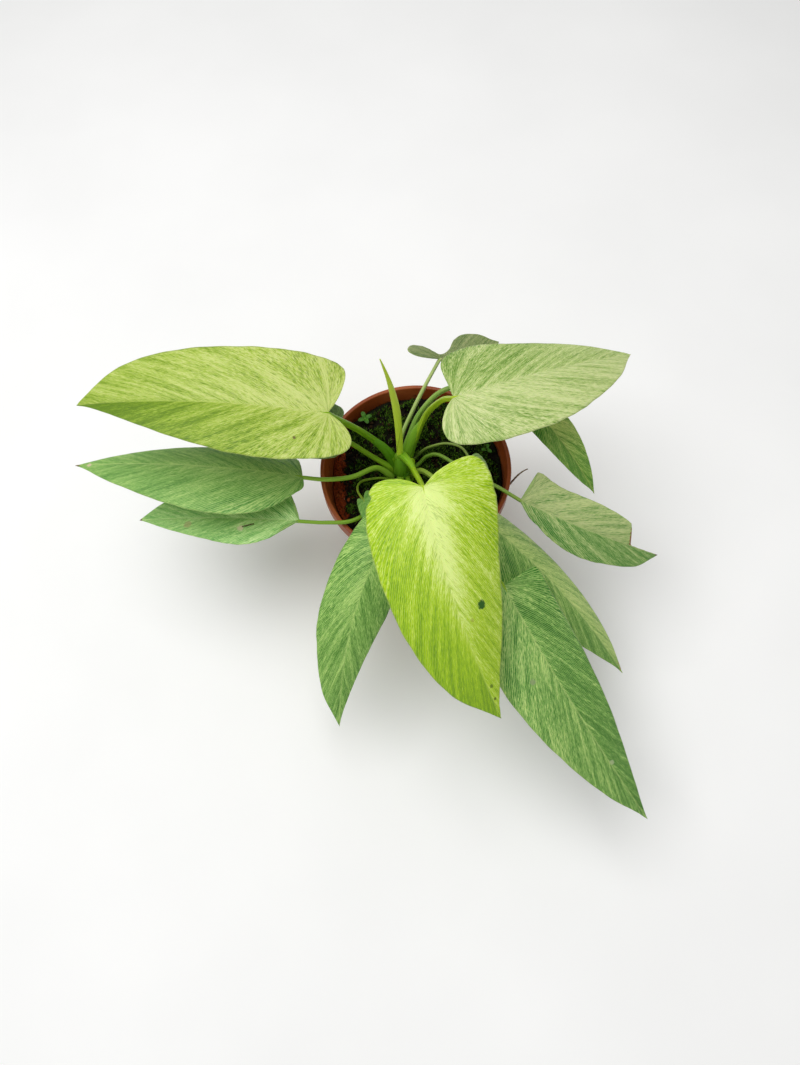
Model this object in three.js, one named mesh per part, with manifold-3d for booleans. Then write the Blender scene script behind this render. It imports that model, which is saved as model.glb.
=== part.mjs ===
// A potted aroid house plant with cream and green variegated leaves, in a 12 cm plastic nursery pot.
// Millimetres, +Z up. The origin is the middle of the pot's underside.
import * as THREE from 'three';
import Module from 'manifold-3d';

const wasm = await Module();
wasm.setup();

// Driving dimensions
const pot = {
  rim: 60, height: 105, base: 44, wall: 1.8, floor: 5, segments: 48,
  lip: { height: 11, out: 2.4, edge: 0.8, thickness: 2.5 },
  foot: { height: 3, inner: 36, pad: 14, slope: 1 },
  drains: { count: 8, ring: 25, radius: 3.5, sides: 8 },
};
const mix = {
  level: 93, clearance: 0.3, rings: 8, segments: 36, relief: 0.8, edgeDrop: 7,
  hollow: { x: -38, run: 16, reach: 26, depth: 5 }, mound: { height: 1.5, spread: 16 },
};
const crown = { x: -9, y: 0, foot: 84, soilRadius: 6, top: 123.5, topRadius: 3.2, sides: 14 };
const blade = { thickness: 0.8, rows: 15, columns: 3, vein: 1.25 };
const smallBlade = { rows: 10, columns: 2 };
const stalk = { sides: 6, steps: 15, ribSteps: 6, ribReach: 0.86, ribTip: 0.45, sunk: 0.35 };
const gap = 0.3;

// Each leaf: where the blade's midrib starts and ends, how it is bent, and where its stalk springs.
// Two values in a row are the right and the left half, looking from the stalk to the tip.
// half: greatest half width. lobe, lobeAt: how far the basal lobe reaches back (share of the length)
// and where across. widest, full: where the blade is widest and how full it stays towards the tip.
// fold: how far each half is tipped up, at the base and at the tip. curl: the droop of the margin.
// azimuth, level: where the stalk leaves the crown. via: points that it passes on its way to the blade.
// margin: an outline of its own for the left half.
const leaves = {
  leaf_top_left: {
    base: [-48, 5, 168], tip: [-187, 18, 174], arch: 8, half: [38, 32], lobe: [0.05, 0.1],
    lobeAt: 0.5, widest: 0.24, full: [1.22, 0.95], fold: 12, curl: -25, wave: 1.5, phase: [0.2, 0.6],
    azimuth: 127, level: 107.5, via: [[-20.5, 10, 117], [-32, 11, 135]], radius: [3, 1.8],
  },
  leaf_under_top_left: {
    base: [-50, 6, 140], tip: [-161, 40, 112], arch: 6, half: [25, 17], lobe: [0.04, 0.08],
    widest: 0.25, fold: 12, curl: -25,
    azimuth: 163, level: 102.6, via: [[-27, 6.5, 111], [-41, 10, 126]], radius: [2, 1.4],
  },
  leaf_left: {
    base: [-69, -10, 122], tip: [-208, 9, 122], arch: 8, half: [22, 31.5], lobe: [-0.03, -0.05],
    widest: 0.28, full: [1, 1.05], fold: [-18, 14], curl: -25,
    azimuth: 186, level: 98, via: [[-25, -0.5, 108], [-39, -10, 117], [-55, -12, 120]],
    radius: [2.1, 1.3],
  },
  leaf_lower_left: {
    base: [-73, -33, 109], tip: [-177, -17, 92], arch: 4, half: [22, 19], lobe: [-0.05, -0.1],
    widest: [0.25, 0.38], full: [1, 1.05], fold: 14, curl: -25,
    azimuth: 236, level: 98, via: [[-24, -24, 106], [-40, -35, 108.5], [-57, -35.5, 109]],
    radius: [1.7, 1.2],
  },
  leaf_front_left: {
    base: [-21, -53, 120], tip: [-59, -148, 50], arch: 12, bow: -6, half: [22, 22], lobe: [0.16, 0.12],
    widest: [0.4, 0.3], full: [1.2, 0.95], fold: [10, -20], curl: -30,
    azimuth: 262, level: 101, via: [[-12, -20, 108], [-17, -38, 116]], radius: [1.8, 1.2],
  },
  leaf_front_left_small: {
    base: [-33, -26, 116], tip: [-21, -63, 110], arch: 2, half: [5, 8], lobe: [0.06, 0.14],
    widest: 0.3, fold: 10, small: true,
    azimuth: 206, level: 95.5, via: [[-24, -3, 98.5], [-34.5, -6, 101.5], [-37, -15, 108]],
    radius: [0.9, 0.8],
  },
  leaf_front: {
    base: [1, -49, 176], tip: [34, -161, 118], arch: 12, bow: -5, half: [35, 41], lobe: [0.07, 0.13],
    lobeAt: [0.5, 0.72], widest: [0.28, 0.1], full: [1.22, 0.97], fold: [6, 2], foldTip: [6, -20],
    curl: -35, wave: 1.2, phase: [0.1, 0.5],
    azimuth: 350, level: 114, via: [[-3, -9, 124], [-1.5, -20, 136], [0.5, -34, 152]],
    radius: [2.2, 1.6],
  },
  leaf_lower_right: {
    base: [43, -89, 125], tip: [117, -215, 62], arch: 8, bow: -4, half: [30, 27], lobe: [0.12, 0.01],
    lobeAt: [0.46, 0.72], widest: [0.3, 0.22], full: [1.08, 1], fold: [8, -8], wave: 1.8, waves: 3.5,
    azimuth: 298, level: 103, via: [[-3.5, -13, 106.5], [12, -37, 119], [27, -60, 124.5]],
    radius: [1.8, 1.3],
  },
  leaf_behind_lower_right: {
    base: [42, -49, 116], tip: [119, -129, 56], arch: 4, bow: 4, half: [26, 18], lobe: [0.1, 0.12],
    widest: 0.26, full: [1, 1.15], fold: [14, -26],
    azimuth: 335, level: 100, via: [[4.5, -5.5, 108], [18, -22, 114], [31, -37, 116]],
    radius: [2.2, 1.3],
  },
  leaf_right: {
    base: [60, -35, 120], tip: [146, -63, 84], arch: 5, bow: -4, half: [18, 18], lobe: [-0.15, -0.02],
    lobeAt: [0.46, 0.7], widest: [0.42, 0.22], full: [1.25, 1.2], cut: [1, 0.79], fold: [-6, 38],
    curl: [-20, -30], wave: [1, 2], waves: 1.5,
    azimuth: 15, level: 96.5, radius: [1.5, 1.2],
    via: [[3, 4.5, 100], [8, 6, 106], [16, 3, 111], [32.5, -13, 115], [47, -23.5, 117]],
  },
  leaf_right_small: {
    base: [72, 22, 132], tip: [111, -23, 95], arch: 6, half: [11.5, 13], lobe: 0.1, widest: 0.28, full: 1.1,
    fold: 14, curl: -25,
    azimuth: 78, level: 106, via: [[-2.5, 14.5, 118], [5.5, 22, 134], [21, 27.5, 148], [48, 28, 148]],
    radius: [2.1, 1.4],
  },
  leaf_top_right: {
    base: [22, 4, 176], tip: [132, 41, 150], arch: 9, bow: -3, half: [33, 43], lobe: 0.1, lobeAt: 0.5,
    widest: 0.33, full: 1.12, fold: [8, -8], curl: -25, wave: 1.2,
    margin: [
      [0, 0, 0], [0, 0.3, 0], [0, 0.65, 0], [0.05, 0.88, 0], [0.12, 0.99, 0.02], [0.24, 0.96, 0.15],
      [0.4, 0.74, 0.32], [0.6, 0.54, 0.5], [0.78, 0.34, 0.7], [0.9, 0.15, 0.87], [1, 0, 1],
    ],
    azimuth: 38, level: 109, via: [[0.5, 10, 120], [8, 16.5, 139], [16.5, 12.5, 160]],
    radius: [2.4, 1.6],
  },
  leaf_back: {
    base: [19, 48, 150], tip: [60, 77, 122], arch: -3, roll: 5, half: [17, 20], lobe: 0.04,
    widest: 0.42, full: 1.1, fold: [-20, 8], curl: -10, wave: 0,
    margin: [
      [0, 0, 0], [-0.15, 0.05, 0], [-0.3, 0.18, 0], [-0.36, 0.45, 0], [-0.22, 0.7, 0.02], [-0.07, 0.6, 0.03],
      [0.02, 0.15, 0.1], [0.24, 0.3, 0.32], [0.43, 0.65, 0.5], [0.65, 0.8, 0.7], [0.85, 0.55, 0.87],
      [0.92, 0.2, 0.94], [1, 0, 1],
    ],
    azimuth: 100, level: 97, via: [[-7, 17, 114], [0, 26, 127], [9, 36, 140]], radius: [1.6, 1.2],
  },
  leaf_front_right_small: {
    base: [33, -5, 120], tip: [40, -32, 118], arch: 2, half: [8, 8], lobe: 0.08, widest: 0.28, fold: 10,
    small: true,
    azimuth: 52, level: 96.5, radius: [0.9, 0.8],
    via: [[1, 8.5, 101], [4, 8.3, 108], [9, 8, 114], [19, 6, 121], [28, 2, 122]],
  },
};
const newLeaf = {
  path: [[-9.2, -0.3, 124], [-8.4, 1.6, 156], [-9.4, 3, 186], [-16.4, 5.2, 215]],
  radii: [2.3, 2.4, 1.9, 0.3], sides: 8, steps: 12,
};
const dryStalk = {
  path: [[56.3, -9.5, 84], [61.5, -10.5, 90], [62, -7.5, 99], [70.7, -5, 100]],
  radii: [0.8, 0.7, 0.6, 0.4], sides: 6, steps: 8,
};
const seedlings = {
  seedling_back_left: { x: -30, y: 40, height: 5, leaf: 5, count: 4, turn: 20 },
  seedling_right: { x: 47, y: 13, height: 3, leaf: 4, count: 3, turn: 75 },
};
const sprig = { stem: 0.7, hole: 1.2, sunk: 3, sides: 5, thickness: 0.6, arch: 0.8, width: 0.3 };

const colours = {
  terracotta: '#7a3c20', soil: '#17110a', stem: '#55852a', lime: '#b9cf63', chartreuse: '#a3bf30',
  green: '#6f9f52', grey: '#92a273', sprout: '#a0b93a', dry: '#5a4234', seedling: '#3f7a24',
};
const leafColours = {
  leaf_top_left: colours.lime, leaf_top_right: colours.lime, leaf_front: colours.chartreuse,
  leaf_back: colours.grey, leaf_right: colours.grey,
};

const root = new THREE.Group();
const up = new THREE.Vector3(0, 0, 1);
const vec = (p) => new THREE.Vector3(...p);
const rad = THREE.MathUtils.degToRad;
const clamp = THREE.MathUtils.clamp;
const half = (value, side) => (Array.isArray(value) ? value[side > 0 ? 0 : 1] : value);

function addPiece(name, geometry, colour, roughness) {
  const material = new THREE.MeshStandardMaterial({ color: colour, roughness, metalness: 0 });
  const mesh = new THREE.Mesh(geometry, material);
  mesh.name = name;
  root.add(mesh);
}

// Meshes and solids. A mesh here is { points: [Vector3], faces: [[a, b, c]] } with shared corners.
function toGeometry({ points, faces }) {
  const places = points.flatMap((p) => p.toArray());
  const geometry = new THREE.BufferGeometry();
  geometry.setAttribute('position', new THREE.Float32BufferAttribute(places, 3));
  geometry.setIndex(faces.flat());
  return geometry;
}

function toSolid({ points, faces }) {
  const vertProperties = new Float32Array(points.flatMap((p) => p.toArray()));
  const triVerts = new Uint32Array(faces.flat());
  return new wasm.Manifold(new wasm.Mesh({ numProp: 3, vertProperties, triVerts }));
}

function solidGeometry(solid) {
  const mesh = solid.getMesh();
  const geometry = new THREE.BufferGeometry();
  geometry.setAttribute('position', new THREE.BufferAttribute(new Float32Array(mesh.vertProperties), 3));
  geometry.setIndex(new THREE.BufferAttribute(new Uint32Array(mesh.triVerts), 1));
  return geometry;
}

// A body of revolution about an axis through (x, y): the outline runs from the axis back to the axis.
function turned(outline, segments, x = 0, y = 0) {
  const points = [];
  const faces = [];
  const rings = outline.map(([r, z]) => {
    const first = points.length;
    const count = r > 0 ? segments : 1;
    for (let i = 0; i < count; i += 1) {
      const a = (2 * Math.PI * i) / segments;
      points.push(new THREE.Vector3(x + r * Math.cos(a), y + r * Math.sin(a), z));
    }
    return { first, count };
  });
  for (let k = 0; k + 1 < rings.length; k += 1) {
    const [lower, upper] = [rings[k], rings[k + 1]];
    for (let i = 0; i < segments; i += 1) {
      const at = (ring, n) => ring.first + (ring.count === 1 ? 0 : n % segments);
      if (lower.count > 1) faces.push([at(lower, i), at(lower, i + 1), at(upper, i)]);
      if (upper.count > 1) faces.push([at(lower, i + 1), at(upper, i + 1), at(upper, i)]);
    }
  }
  return { points, faces };
}

// A round bar along a path of points, closed at both ends, with a radius at each point.
function bar(path, radii, sides) {
  const points = [];
  const faces = [];
  let across = null;
  path.forEach((p, k) => {
    const ahead = path[Math.min(k + 1, path.length - 1)];
    const tangent = ahead.clone().sub(path[Math.max(k - 1, 0)]).normalize();
    if (!across) across = Math.abs(tangent.z) > 0.9 ? new THREE.Vector3(1, 0, 0) : up.clone();
    across = across.clone().addScaledVector(tangent, -across.dot(tangent)).normalize();
    const other = tangent.clone().cross(across);
    for (let i = 0; i < sides; i += 1) {
      const a = (2 * Math.PI * i) / sides;
      const corner = p.clone().addScaledVector(across, radii[k] * Math.cos(a));
      points.push(corner.addScaledVector(other, radii[k] * Math.sin(a)));
    }
  });
  for (let k = 0; k + 1 < path.length; k += 1) {
    for (let i = 0; i < sides; i += 1) {
      const [a, b] = [k * sides + i, k * sides + ((i + 1) % sides)];
      faces.push([a, b, a + sides], [b, b + sides, a + sides]);
    }
  }
  const last = (path.length - 1) * sides;
  for (let i = 1; i + 1 < sides; i += 1) faces.push([0, i + 1, i], [last, last + i, last + i + 1]);
  return { points, faces };
}

// A smooth run of rows through a few outline points, which may each hold several numbers.
function smooth(rows, share) {
  const span = clamp(share, 0, 1) * (rows.length - 1);
  const k = Math.min(Math.floor(span), rows.length - 2);
  const u = span - k;
  return rows[k].map((_, i) => {
    const [b, c] = [rows[k][i], rows[k + 1][i]];
    const a = k > 0 ? rows[k - 1][i] : 2 * b - c;
    const d = k + 2 < rows.length ? rows[k + 2][i] : 2 * c - b;
    const [square, cube] = [2 * a - 5 * b + 4 * c - d, 3 * b - a - 3 * c + d];
    return 0.5 * (2 * b + (c - a) * u + square * u * u + cube * u ** 3);
  });
}

// The margin of one half, as rows of x (share of the length), y (share of the half width) and
// the share of the length where the vein to that point leaves the midrib.
function margin(leaf, side) {
  const lobe = half(leaf.lobe, side);
  const widest = half(leaf.widest, side);
  const full = half(leaf.full ?? 1, side);
  const across = half(leaf.lobeAt ?? 0.46, side);
  if (leaf.margin && side < 0) return leaf.margin;
  const shoulder = lobe > 0 ? 0.45 * widest : Math.max(0.45 * widest, 0.06 - 1.5 * lobe);
  return [
    [0, 0, 0], [-0.55 * lobe, 0.35 * across, 0], [-lobe, across, 0],
    [-(lobe > 0 ? 0.62 : 1.5) * lobe, 0.57 + 0.5 * across, 0], [shoulder, 0.985, 0.03],
    [widest + 0.1, 0.97, 0.2], [0.62, 0.7 * full, 0.47], [0.83, 0.33 * full ** 2.7, 0.72],
    [0.94, 0.095 * full ** 3.5, 0.88], [1, 0, 1],
  ];
}

// The midrib is a parabola from base to tip; behind the base it runs on straight.
function midrib(leaf, u) {
  const [base, tip] = [vec(leaf.base), vec(leaf.tip)];
  const chord = tip.clone().sub(base);
  const left = up.clone().cross(chord).normalize();
  const bend = up.clone().multiplyScalar(leaf.arch).addScaledVector(left, leaf.bow ?? 0);
  const control = base.clone().add(tip).multiplyScalar(0.5).addScaledVector(bend, 2);
  const out = control.clone().sub(base);
  const share = Math.max(u, 0);
  const point = base.clone().multiplyScalar((1 - share) ** 2);
  point.addScaledVector(control, 2 * share * (1 - share)).addScaledVector(tip, share ** 2);
  point.addScaledVector(out, 2 * Math.min(u, 0));
  const onward = tip.clone().sub(control);
  const tangent = out.clone().multiplyScalar(1 - share).addScaledVector(onward, share).normalize();
  const flatSide = tangent.clone().cross(up).normalize();
  const flatNormal = flatSide.clone().cross(tangent);
  const roll = rad(leaf.roll ?? 0);
  return {
    point,
    tangent,
    side: flatSide.clone().multiplyScalar(Math.cos(roll)).addScaledVector(flatNormal, Math.sin(roll)),
    normal: flatNormal.clone().multiplyScalar(Math.cos(roll)).addScaledVector(flatSide, -Math.sin(roll)),
  };
}

// The place of a point of the blade: u along, reach in mm from the midrib, row along the margin.
function bladePoint(leaf, u, reach, row, side) {
  const rib = midrib(leaf, u);
  const width = half(leaf.half, side);
  const foldBase = half(leaf.fold, side);
  const foldTip = half(leaf.foldTip ?? leaf.fold, side);
  const fold = rad(foldBase + (foldTip - foldBase) * clamp(u, 0, 1));
  const curl = rad(half(leaf.curl ?? -20, side));
  const turn = fold + (curl * reach) / width;
  const lateral = (width / curl) * (Math.sin(turn) - Math.sin(fold));
  const cycle = (leaf.waves ?? 2) * row + half(leaf.phase ?? 0, side);
  const wave = half(leaf.wave ?? 1, side) * Math.sin(2 * Math.PI * cycle) * (reach / width) ** 2;
  const lift = (-width / curl) * (Math.cos(turn) - Math.cos(fold)) + wave;
  return rib.point.addScaledVector(rib.side, lateral * side).addScaledVector(rib.normal, lift);
}

// The blade's middle surface: rows follow the veins, columns run from the midrib to the margin.
function bladeSheet(leaf, rows, columns) {
  const points = [];
  const faces = [];
  const known = new Map();
  const add = (p) => {
    const key = p.toArray().map((v) => v.toFixed(3)).join();
    if (!known.has(key)) {
      known.set(key, points.length);
      points.push(p);
    }
    return known.get(key);
  };
  const face = (a, b, c) => {
    if (a !== b && b !== c && a !== c) faces.push([a, b, c]);
  };
  for (const side of [1, -1]) {
    const outline = margin(leaf, side);
    const cut = half(leaf.cut ?? 1, side);
    const grid = [];
    for (let i = 1; i < rows; i += 1) {
      const row = i / (rows - 1);
      const [x, share, start] = smooth(outline, row);
      const y = cut < 1 ? share * clamp((cut - x) / 0.05, 0.03, 1) : share;
      const vein = clamp(start, 0, 1);
      const line = [];
      for (let j = 0; j <= columns; j += 1) {
        const t = j / columns;
        const u = vein + (x - vein) * t ** blade.vein;
        line.push(add(bladePoint(leaf, u, half(leaf.half, side) * y * t, row, side)));
      }
      grid.push(line);
    }
    for (let i = 0; i + 1 < grid.length; i += 1) {
      for (let j = 0; j < columns; j += 1) {
        const [a, b, c, d] = [grid[i][j], grid[i + 1][j], grid[i + 1][j + 1], grid[i][j + 1]];
        if (side > 0) {
          face(a, d, b);
          face(d, c, b);
        } else {
          face(a, b, d);
          face(d, b, c);
        }
      }
    }
  }
  return { points, faces };
}

// A sheet gets its thickness: both faces are split alike, and the edge is closed all round.
function thicken({ points, faces }, thickness) {
  const normals = points.map(() => new THREE.Vector3());
  for (const [a, b, c] of faces) {
    const n = points[b].clone().sub(points[a]).cross(points[c].clone().sub(points[a]));
    for (const k of [a, b, c]) normals[k].add(n);
  }
  const move = (k, by) => points[k].clone().addScaledVector(normals[k].clone().normalize(), by);
  const upper = points.map((_, k) => move(k, thickness / 2));
  const lower = points.map((_, k) => move(k, -thickness / 2));
  const n = points.length;
  const all = faces.flatMap(([a, b, c]) => [[a, b, c], [a + n, c + n, b + n]]);
  const edges = new Set(faces.flatMap(([a, b, c]) => [`${a},${b}`, `${b},${c}`, `${c},${a}`]));
  for (const edge of edges) {
    const [a, b] = edge.split(',').map(Number);
    if (!edges.has(`${b},${a}`)) all.push([b, a, a + n], [b, a + n, b + n]);
  }
  return { points: [...upper, ...lower], faces: all };
}

function crownRadius(z) {
  const share = clamp((z - mix.level) / (crown.top - mix.level), 0, 1);
  return crown.soilRadius + (crown.topRadius - crown.soilRadius) * share;
}

// The stalk springs from the crown, passes its via points and runs on under the blade as the midrib.
function stalkBar(leaf) {
  const [thick, thin] = leaf.radius;
  const a = rad(leaf.azimuth);
  const outward = new THREE.Vector3(Math.cos(a), Math.sin(a), 0);
  const skin = new THREE.Vector3(crown.x, crown.y, leaf.level);
  skin.addScaledVector(outward, crownRadius(leaf.level));
  const lean = vec(leaf.via[0]).sub(skin).normalize().dot(outward);
  const start = skin.addScaledVector(outward, gap + thick * Math.sqrt(1 - lean ** 2));
  const end = vec(leaf.base).addScaledVector(midrib(leaf, 0).normal, -stalk.sunk);
  const way = [start.toArray(), ...leaf.via, end.toArray()];
  const path = [];
  const radii = [];
  for (let k = 0; k <= stalk.steps; k += 1) {
    const u = k / stalk.steps;
    path.push(vec(smooth(way, u)));
    radii.push(thin + (thick - thin) * (1 - u) ** 2);
  }
  for (let k = 1; k <= stalk.ribSteps; k += 1) {
    const u = (stalk.ribReach * k) / stalk.ribSteps;
    const rib = midrib(leaf, u);
    path.push(rib.point.addScaledVector(rib.normal, -stalk.sunk));
    radii.push(thin + (stalk.ribTip - thin) * (k / stalk.ribSteps) ** 0.7);
  }
  return bar(path, radii, stalk.sides);
}

function makeLeaf(name, leaf) {
  const { rows, columns } = leaf.small ? smallBlade : blade;
  const sheet = thicken(bladeSheet(leaf, rows, columns), blade.thickness);
  const solid = toSolid(sheet).add(toSolid(stalkBar(leaf)));
  addPiece(name, solidGeometry(solid), leafColours[name] ?? colours.green, 0.45);
}

function along(piece) {
  const curve = new THREE.CubicBezierCurve3(...piece.path.map(vec));
  const path = [];
  const radii = [];
  for (let k = 0; k <= piece.steps; k += 1) {
    path.push(curve.getPoint(k / piece.steps));
    radii.push(smooth(piece.radii.map((r) => [r]), k / piece.steps)[0]);
  }
  return bar(path, radii, piece.sides);
}

// Pot: a tapered wall with an upright lip, standing on a foot ring and a pad in the middle.
function wallRadius(z) {
  return pot.base + ((pot.rim - pot.lip.out - pot.base) * z) / (pot.height - pot.lip.height);
}

function makePot() {
  const { lip, foot, drains } = pot;
  const under = pot.height - lip.height;
  const inner = (z) => wallRadius(z) - pot.wall;
  const outline = [
    [0, 0], [foot.pad, 0], [foot.pad + foot.slope, foot.height], [foot.inner - foot.slope, foot.height],
    [foot.inner, 0], [pot.base - 1, 0], [pot.base, 1], [wallRadius(under - 1.5), under - 1.5],
    [pot.rim - 0.6, under], [pot.rim, under + lip.edge], [pot.rim, pot.height - lip.edge],
    [pot.rim - 0.7, pot.height], [pot.rim - lip.thickness + 0.7, pot.height],
    [pot.rim - lip.thickness, pot.height - lip.edge], [inner(under), under - 1],
    [inner(pot.floor + 3), pot.floor + 3], [inner(pot.floor) - 1.5, pot.floor], [0, pot.floor],
  ];
  let solid = toSolid(turned(outline, pot.segments));
  const hole = [[0, -1], [drains.radius, -1], [drains.radius, pot.floor + 1], [0, pot.floor + 1]];
  for (let i = 0; i < drains.count; i += 1) {
    const a = (2 * Math.PI * (i + 0.5)) / drains.count;
    const drain = turned(hole, drains.sides, drains.ring * Math.cos(a), drains.ring * Math.sin(a));
    solid = solid.subtract(toSolid(drain));
  }
  addPiece('pot', solidGeometry(solid), colours.terracotta, 0.5);
}

// Potting mix: its surface is uneven, hollow at the left side, and rises a little round the crown.
function mixHeight(x, y) {
  const { hollow, mound } = mix;
  const lumps = Math.sin(0.31 * x + 1) * Math.cos(0.27 * y) + 0.6 * Math.sin(0.52 * y - 0.38 * x);
  const side = clamp((hollow.x - x) / hollow.run, 0, 1);
  const sunk = hollow.depth * side * Math.exp(-((y / hollow.reach) ** 2));
  const away = ((x - crown.x) ** 2 + (y - crown.y) ** 2) / mound.spread ** 2;
  return mix.level + mix.relief * lumps - sunk + mound.height * Math.exp(-away);
}

function makeMix() {
  const bottom = pot.floor + mix.clearance;
  const inner = (z) => wallRadius(z) - pot.wall - mix.clearance;
  const outline = [
    [0, bottom], [inner(bottom) - 1.8, bottom], [inner(pot.floor + 3) - 0.1, pot.floor + 3.3],
  ];
  const topFrom = 1 + (outline.length - 1) * mix.segments;
  const edge = inner(mix.level - mix.edgeDrop);
  for (let k = mix.rings; k >= 0; k -= 1) outline.push([(edge * k) / mix.rings, mix.level]);
  const body = turned(outline, mix.segments);
  body.points.forEach((p, k) => {
    if (k >= topFrom) p.z = mixHeight(p.x, p.y);
  });
  const hole = (x, y, radius, foot, sides) => {
    const wall = [[0, foot], [radius, foot], [radius, pot.height], [0, pot.height]];
    return toSolid(turned(wall, sides, x, y));
  };
  let solid = toSolid(body);
  solid = solid.subtract(hole(crown.x, crown.y, crown.soilRadius + gap, crown.foot, crown.sides));
  for (const { x, y } of Object.values(seedlings)) {
    solid = solid.subtract(hole(x, y, sprig.hole, mixHeight(x, y) - sprig.sunk, sprig.sides));
  }
  addPiece('potting_mix', solidGeometry(solid), colours.soil, 0.95);
}

function makeCrown() {
  const outline = [
    [0, crown.foot + gap], [crown.soilRadius, crown.foot + gap], [crown.soilRadius, mix.level],
    [crown.topRadius, crown.top], [0, crown.top],
  ];
  addPiece('crown', toGeometry(turned(outline, crown.sides, crown.x, crown.y)), colours.stem, 0.5);
}

// A seedling: an upright stem in a hole in the mix, and a few small pointed leaves round its top.
function makeSeedling(name, seedling) {
  const { x, y, height, leaf, count, turn } = seedling;
  const foot = mixHeight(x, y) - sprig.sunk + gap;
  const top = mixHeight(x, y) + height;
  const stem = [[0, foot], [sprig.stem, foot], [sprig.stem, top], [0, top]];
  let solid = toSolid(turned(stem, sprig.sides, x, y));
  for (let i = 0; i < count; i += 1) {
    const a = rad(turn + (360 * i) / count);
    const out = (r, z) => [x + r * Math.cos(a), y + r * Math.sin(a), top + z];
    const spec = {
      base: out(0.2, -0.6), tip: out(leaf, i % 2), arch: sprig.arch, half: leaf * sprig.width,
      lobe: 0.02, widest: 0.35, fold: 12, wave: 0,
    };
    solid = solid.add(toSolid(thicken(bladeSheet(spec, 5, 1), sprig.thickness)));
  }
  addPiece(name, solidGeometry(solid), colours.seedling, 0.6);
}

makePot();
makeMix();
makeCrown();
for (const [name, leaf] of Object.entries(leaves)) makeLeaf(name, leaf);
addPiece('new_leaf', toGeometry(along(newLeaf)), colours.sprout, 0.4);
addPiece('dry_stalk', toGeometry(along(dryStalk)), colours.dry, 0.8);
for (const [name, seedling] of Object.entries(seedlings)) makeSeedling(name, seedling);

export default root;
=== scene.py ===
# A potted cream frost homalomena: cream-streaked leaves on slender stalks in a 12 cm nursery pot.
# Tables are in millimetres; meshes are in metres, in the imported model's frame.
import math

import bmesh
import bpy
import numpy as np
from mathutils import Matrix, Vector, noise


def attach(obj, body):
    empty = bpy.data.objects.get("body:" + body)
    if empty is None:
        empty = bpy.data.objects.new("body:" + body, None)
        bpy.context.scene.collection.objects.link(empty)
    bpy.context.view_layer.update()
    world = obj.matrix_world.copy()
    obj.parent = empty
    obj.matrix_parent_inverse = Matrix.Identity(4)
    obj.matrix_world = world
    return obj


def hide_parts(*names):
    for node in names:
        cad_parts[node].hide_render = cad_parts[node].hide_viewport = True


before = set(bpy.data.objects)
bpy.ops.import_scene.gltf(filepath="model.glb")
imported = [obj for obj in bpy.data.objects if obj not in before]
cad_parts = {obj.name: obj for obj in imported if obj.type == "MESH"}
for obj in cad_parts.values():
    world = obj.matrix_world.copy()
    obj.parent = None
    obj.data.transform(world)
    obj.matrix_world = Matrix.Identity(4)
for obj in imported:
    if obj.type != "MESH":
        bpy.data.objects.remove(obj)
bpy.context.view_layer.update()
mm = 0.001

# Camera: looking down on the plant as the photograph does
cameraView = {
    "at": (-12.7, -227.6, 548.0), "toward": (0, 0.383, -0.924), "right": (0.9973, -0.0675, -0.028),
    "lens": 26.74, "sensor": 36,
}


def makeCamera(values):
    data = bpy.data.cameras.new("camera")
    data.lens = values["lens"]
    data.sensor_width = values["sensor"]
    data.clip_start = 0.01
    camera = bpy.data.objects.new("camera", data)
    bpy.context.scene.collection.objects.link(camera)
    back = -Vector(values["toward"]).normalized()
    right = Vector(values["right"])
    right = (right - back * right.dot(back)).normalized()
    turn = Matrix((right, back.cross(right), back)).transposed().to_4x4()
    camera.matrix_world = Matrix.Translation(Vector(values["at"]) * mm) @ turn
    bpy.context.scene.camera = camera


makeCamera(cameraView)
print("camera made")


# Small tools for colours, nodes and meshes. A MapRange node takes its value in socket 0, what it runs
# from in 1 and 2 and to in 3 and 4. A Mix node for colours has its share in 0 and the colours in 6 and
# 7, and gives the mix as output 2.
smoothStep = {"interpolation_type": "SMOOTHSTEP"}
colourMix = {"data_type": "RGBA"}


def fromHex(value):
    parts = [int(value[k:k + 2], 16) / 255 for k in (1, 3, 5)]
    return [c / 12.92 if c <= 0.04045 else ((c + 0.055) / 1.055) ** 2.4 for c in parts] + [1]


def addNode(tree, kind, settings={}, inputs={}, output=0):
    # settings are the node's own options, inputs are sockets to link or values to set
    node = tree.nodes.new(kind)
    for name, value in settings.items():
        if name == "stops":  # the stops of a colour ramp
            while len(node.color_ramp.elements) < len(value):
                node.color_ramp.elements.new(0.5)
            for element, (place, colour) in zip(node.color_ramp.elements, value):
                element.position = place
                element.color = fromHex(colour)
        else:
            setattr(node, name, value)
    for key, value in inputs.items():
        if isinstance(value, bpy.types.NodeSocket):
            tree.links.new(value, node.inputs[key])
        else:
            node.inputs[key].default_value = value
    return node.outputs[output] if len(node.outputs) > 0 else node


def newMaterial(name):
    material = bpy.data.materials.new(name)
    material.use_nodes = True
    tree = material.node_tree
    tree.nodes.clear()
    return material, tree


def finishMaterial(tree, inputs):
    shader = addNode(tree, "ShaderNodeBsdfPrincipled", {}, inputs)
    addNode(tree, "ShaderNodeOutputMaterial", {}, {"Surface": shader})


def newObject(name, mesh):
    piece = bpy.data.objects.new(name, mesh)
    bpy.context.scene.collection.objects.link(piece)
    return piece


def meshFrom(name, points, faces, material=None):
    mesh = bpy.data.meshes.new(name)
    mesh.from_pydata([tuple(p) for p in points], [], faces)
    mesh.shade_smooth()
    if material:
        mesh.materials.append(material)
    return mesh


def storeValues(mesh, label, values):
    attribute = mesh.attributes.new(label, "FLOAT", "POINT")
    attribute.data.foreach_set("value", np.array(values, np.float32))


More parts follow.
